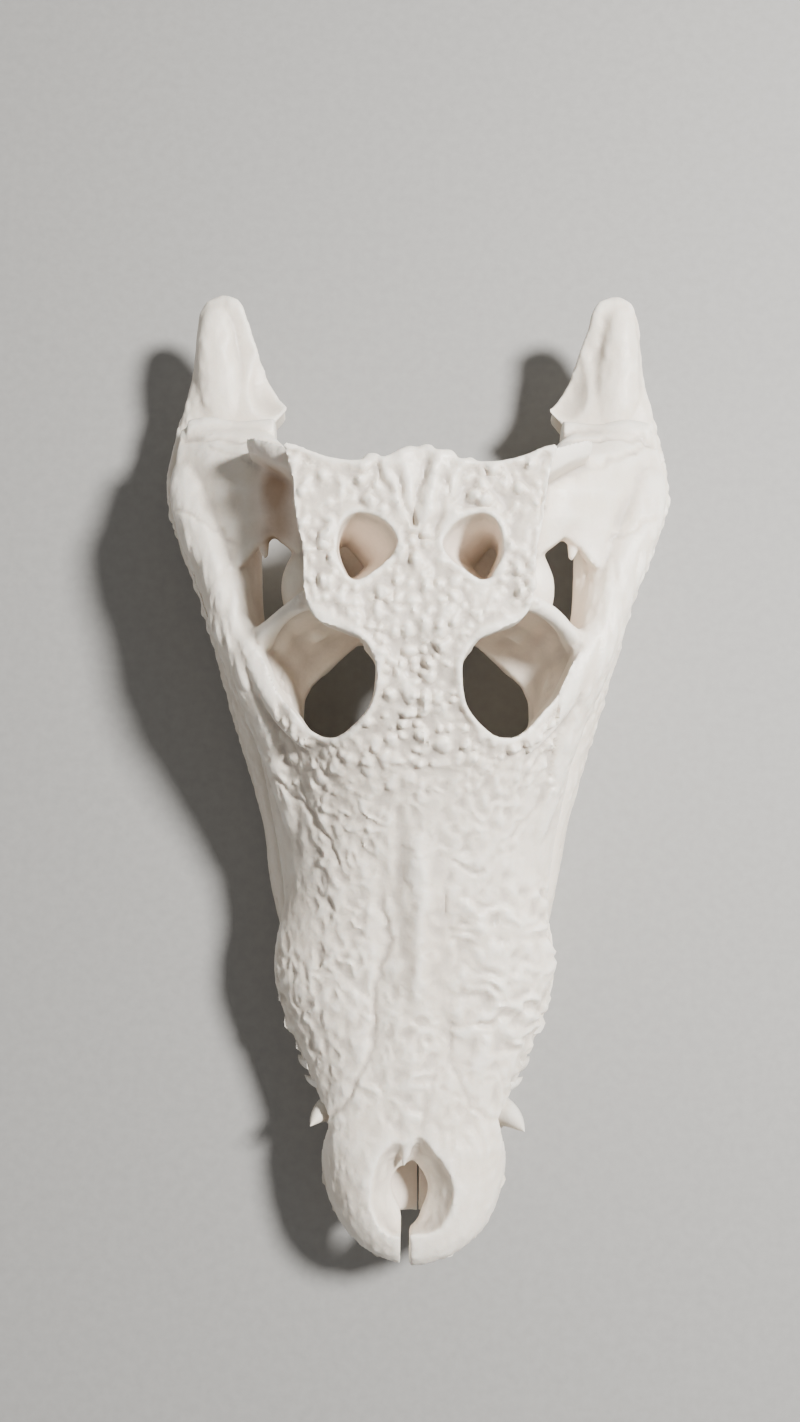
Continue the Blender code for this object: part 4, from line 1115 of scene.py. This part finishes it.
def makeJaw(side, name, seed):
    body = loft("jaw", [jawRing(station) for station in stationsOf(jawShape["rows"], jawShape["step"])])
    cutters = [bar("tendonCut", jawShape["tendonPit"]), bar("socketCut", jawShape["socket"])]
    cutters.append(ball("windowCut", *jawShape["window"]))
    cutters += [ball("hollowCut", *hollow) for hollow in jawShape["hollows"]]
    body = cut(body, cutters)
    teeth, collars = lowerTeeth(side)
    skin = fuse(f"{name}Skin", [body, bar("crest", jawShape["rearCrest"]), *collars],
                jawShape["grid"], jawShape["softening"])
    if side < 0:
        mirror(skin)
    places, normals = readSkin(skin, 3)
    pushSkin(skin, places, normals, jawHeights(places, normals, seed))
    thin(skin, jawShape["triangles"])
    # cut off past the seam at the chin and below the strip that the jaw rests on
    near, far = jawShape["seamAcross"] + side * jawShape["seam"], jawShape["seamAcross"] - side * 60
    beyond = block("seamCut", ((near, -20), (far, -20), (far, 60), (near, 60)), -20, 80)
    below = block("groundCut", ((-150, -20), (150, -20), (150, 380), (-150, 380)), -40, 0)
    for cutter in (beyond, below):
        change(skin, cutter, "DIFFERENCE", "MANIFOLD")
    return finishPiece(name, apply(skin), teeth)


# bone and tooth materials
boneLook = {
    "light": (0.865, 0.797, 0.69), "warm": (0.835, 0.75, 0.635), "cool": (0.845, 0.79, 0.705),
    # the hollow and deep colours are painted shade: a warm tint for closed-in places and dark brown for the
    # most closed-in
    "hollow": (0.89, 0.785, 0.69), "deepShade": (0.47, 0.33, 0.23),
    # the pit and ridge colours are painted shade in pits and painted highlight on ridges
    "pitShade": (0.52, 0.465, 0.41), "ridge": (0.985, 0.94, 0.85),
    "roughness": (0.34, 0.5), "gloss": 0.42, "bump": 0.32, "bumpHeight": 0.0005,
    "glow": {"Subsurface Weight": 0.10, "Subsurface Radius": (1.0, 0.6, 0.4), "Subsurface Scale": 0.0025},
    "paintedShadows": (  # painted shadow of the table on the recess at its left: place, size
        ((-50, 272, 77), (9, 9, 18)), ((-49, 262, 76), (9, 9, 18)), ((-48, 252, 74), (8.5, 7, 18)),
    ),
    "paintedShadowStrength": 0.9,
}
toothLook = {
    "crown": (0.87, 0.84, 0.77), "root": (0.74, 0.68, 0.58), "streak": (0.80, 0.75, 0.66),
    "roughness": (0.24, 0.38), "bump": 0.25, "bumpHeight": 0.0003,
}


def boneMaterial(name):
    look = Nodes(name)
    large = look.noise(28.0, 3.0, 0.55)
    middle = look.noise(110.0, 4.0, 0.6)
    fine = look.noise(900.0, 3.0, 0.65)
    tone = look.blend(look.ramp(large, 0.38, 0.66), (*boneLook["light"], 1), (*boneLook["warm"], 1))
    coolShare = look.math("MULTIPLY", look.ramp(middle, 0.5, 0.75), 0.6)
    tone = look.blend(coolShare, tone, (*boneLook["cool"], 1))
    curve = look.add("ShaderNodeAttribute", attribute_name="curve").outputs["Fac"]
    hollow = look.add("ShaderNodeAttribute", attribute_name="hollow").outputs["Fac"]
    # painted shade in the pits and painted highlight on the ridges, from the curvature
    tone = look.blend(look.ramp(curve, 0.52, 1.0, 0.0, 0.8), tone, (*boneLook["pitShade"], 1))
    tone = look.blend(look.ramp(curve, 0.48, 0.05, 0.0, 0.8), tone, (*boneLook["ridge"], 1))
    # painted shade: closed-in places and the painted shadow beside the table are tinted warm, the most
    # closed-in dark brown
    paintedShade = look.math("ADD", hollow, look.ramp(middle, 0.3, 0.7, -0.08, 0.08))
    tone = look.blend(look.ramp(paintedShade, 0.42, 0.92, 0.0, 0.9), tone, (*boneLook["hollow"], 1))
    tone = look.blend(look.ramp(paintedShade, 0.95, 1.5, 0.0, 0.9), tone, (*boneLook["deepShade"], 1))
    speck = look.ramp(fine, 0.3, 0.7, 0.965, 1.02)
    speckTone = look.add("ShaderNodeCombineColor", {0: speck, 1: speck, 2: speck}).outputs[0]
    tone = look.blend(1.0, tone, speckTone, "MULTIPLY")
    look.feed("Base Color", tone)
    shine = look.math("ADD", look.ramp(middle, 0.3, 0.7, *boneLook["roughness"]),
                      look.ramp(hollow, 0.2, 0.8, 0.0, 0.15))
    look.feed("Roughness", shine)
    height = look.math("ADD", look.math("MULTIPLY", look.noise(520.0, 4.0, 0.6), 0.7),
                       look.math("MULTIPLY", fine, 0.3))
    look.bump(height, boneLook["bump"], boneLook["bumpHeight"])
    look.feed("Specular IOR Level", boneLook["gloss"])
    for socket, value in boneLook["glow"].items():
        look.feed(socket, value)
    return look.material


def toothMaterial(name):
    look = Nodes(name)
    drawn = look.add("ShaderNodeMapping", {"Vector": look.spot, "Scale": (1.0, 1.0, 0.12)})
    streak = look.noise(900.0, 3.0, 0.6, drawn.outputs["Vector"])
    patch = look.noise(160.0, 3.0, 0.5)
    tone = look.blend(look.ramp(patch, 0.42, 0.7), (*toothLook["crown"], 1), (*toothLook["root"], 1))
    tone = look.blend(look.ramp(streak, 0.5, 0.75, 0.0, 0.7), tone, (*toothLook["streak"], 1))
    look.feed("Base Color", tone)
    look.feed("Roughness", look.ramp(streak, 0.3, 0.7, *toothLook["roughness"]))
    look.bump(streak, toothLook["bump"], toothLook["bumpHeight"])
    return look.material


def finishPiece(name, skin, teeth):
    # sets the teeth in the bone; the bone's and the teeth's faces keep their own materials
    skin.data.materials.clear()
    skin.data.materials.append(boneMaterial(f"{name}Surface"))
    teeth.data.materials.append(toothMaterial(f"{name}Teeth"))
    change(skin, teeth, "UNION", "MANIFOLD")
    skin.modifiers[-1].material_mode = "TRANSFER"
    apply(skin)
    piece = addObject(name, skin.data)
    piece.data.name = name
    piece.data.shade_smooth()
    piece.data.set_sharp_from_angle(angle=math.radians(50))
    piece.data.calc_loop_triangles()
    print(f"{name}: {len(piece.data.loop_triangles)} triangles")
    return piece


# where the surface curves in and where it lies deep, for the painted shade and highlights of the materials
def storeValue(piece, name, values):
    layer = piece.data.attributes.new(name, "FLOAT", "POINT")
    layer.data.foreach_set("value", np.ascontiguousarray(values, np.float32))


def curvature(piece):
    places, normals = readSkin(piece)
    around = neighbours(piece.data)
    smooth = around(around(around(places)))
    bend = np.einsum("ij,ij->i", smooth - places, normals)
    return np.clip(0.5 + around(around(bend)) / 0.34, 0, 1)


# rays from the vertices of a copy with few polygons, lengths in metres
hollowTest = {"rays": 26, "reach": 0.055, "polygons": 9000, "lift": 0.0008, "upright": 1.02, "near": 5}


def openness(pieces):
    # how much of the space around each vertex is closed in, from rays on a coarse copy; the bone's colour
    # paints shade with it
    count, coarse = hollowTest["rays"], []
    for piece in pieces:
        copy = addObject("coarse", piece.data.copy())
        copy.modifiers.new("Coarse", "DECIMATE").ratio = hollowTest["polygons"] / len(piece.data.polygons)
        coarse.append(apply(copy))
    form = bmesh.new()
    for copy in coarse:
        form.from_mesh(copy.data)
    tree = BVHTree.FromBMesh(form)
    form.free()
    random = np.random.default_rng(5)
    rays = random.normal(size=(count, 3))
    rays /= np.linalg.norm(rays, axis=1)[:, None]
    for piece, copy in zip(pieces, coarse):
        spots = KDTree(len(copy.data.vertices))
        closed = np.empty(len(copy.data.vertices))
        for i, vertex in enumerate(copy.data.vertices):
            spots.insert(vertex.co, i)
            start = vertex.co + vertex.normal * hollowTest["lift"]
            hits = 0
            for ray in rays:
                aim = (Vector(ray) + vertex.normal * hollowTest["upright"]).normalized()
                hits += tree.ray_cast(start, aim, hollowTest["reach"])[0] is not None
            closed[i] = hits / count
        spots.balance()
        values = np.empty(len(piece.data.vertices))
        for i, vertex in enumerate(piece.data.vertices):
            near = spots.find_n(vertex.co, hollowTest["near"])
            alike = [max(copy.data.vertices[k].normal.dot(vertex.normal), 0.05) for _, k, _ in near]
            weights = [share / (away + 1e-4) for share, (_, _, away) in zip(alike, near)]
            values[i] = sum(w * closed[k] for w, (_, k, _) in zip(weights, near)) / sum(weights)
        places = readSkin(piece)[0]
        # painted shadow: the table's shade on the recess at its left is added to the closed-in value
        for place, size in boneLook["paintedShadows"]:
            values += boneLook["paintedShadowStrength"] * np.exp(-(((places - place) / size) ** 2).sum(axis=1))
        storeValue(piece, "hollow", values)
        bpy.data.objects.remove(copy)


skull = makeSkull()
print("skull made")
jawRight = makeJaw(1, "jawRight", 61)
jawLeft = makeJaw(-1, "jawLeft", 83)
print("lower jaw made")
madePieces = [skull, jawRight, jawLeft]
shown = {"skullBone", "jawRight", "jawLeft", "floor", *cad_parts}
for helper in [thing for thing in bpy.data.objects if thing.type == "MESH"]:
    if helper.name not in shown:
        bpy.data.objects.remove(helper, do_unlink=True)
for piece in madePieces:
    storeValue(piece, "curve", curvature(piece))
openness(madePieces)
print("hollows measured")

for piece, node in ((skull, "cranium"), (jawRight, "mandible_right"), (jawLeft, "mandible_left")):
    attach(piece, "root")
    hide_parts(node)

print("skull placed")
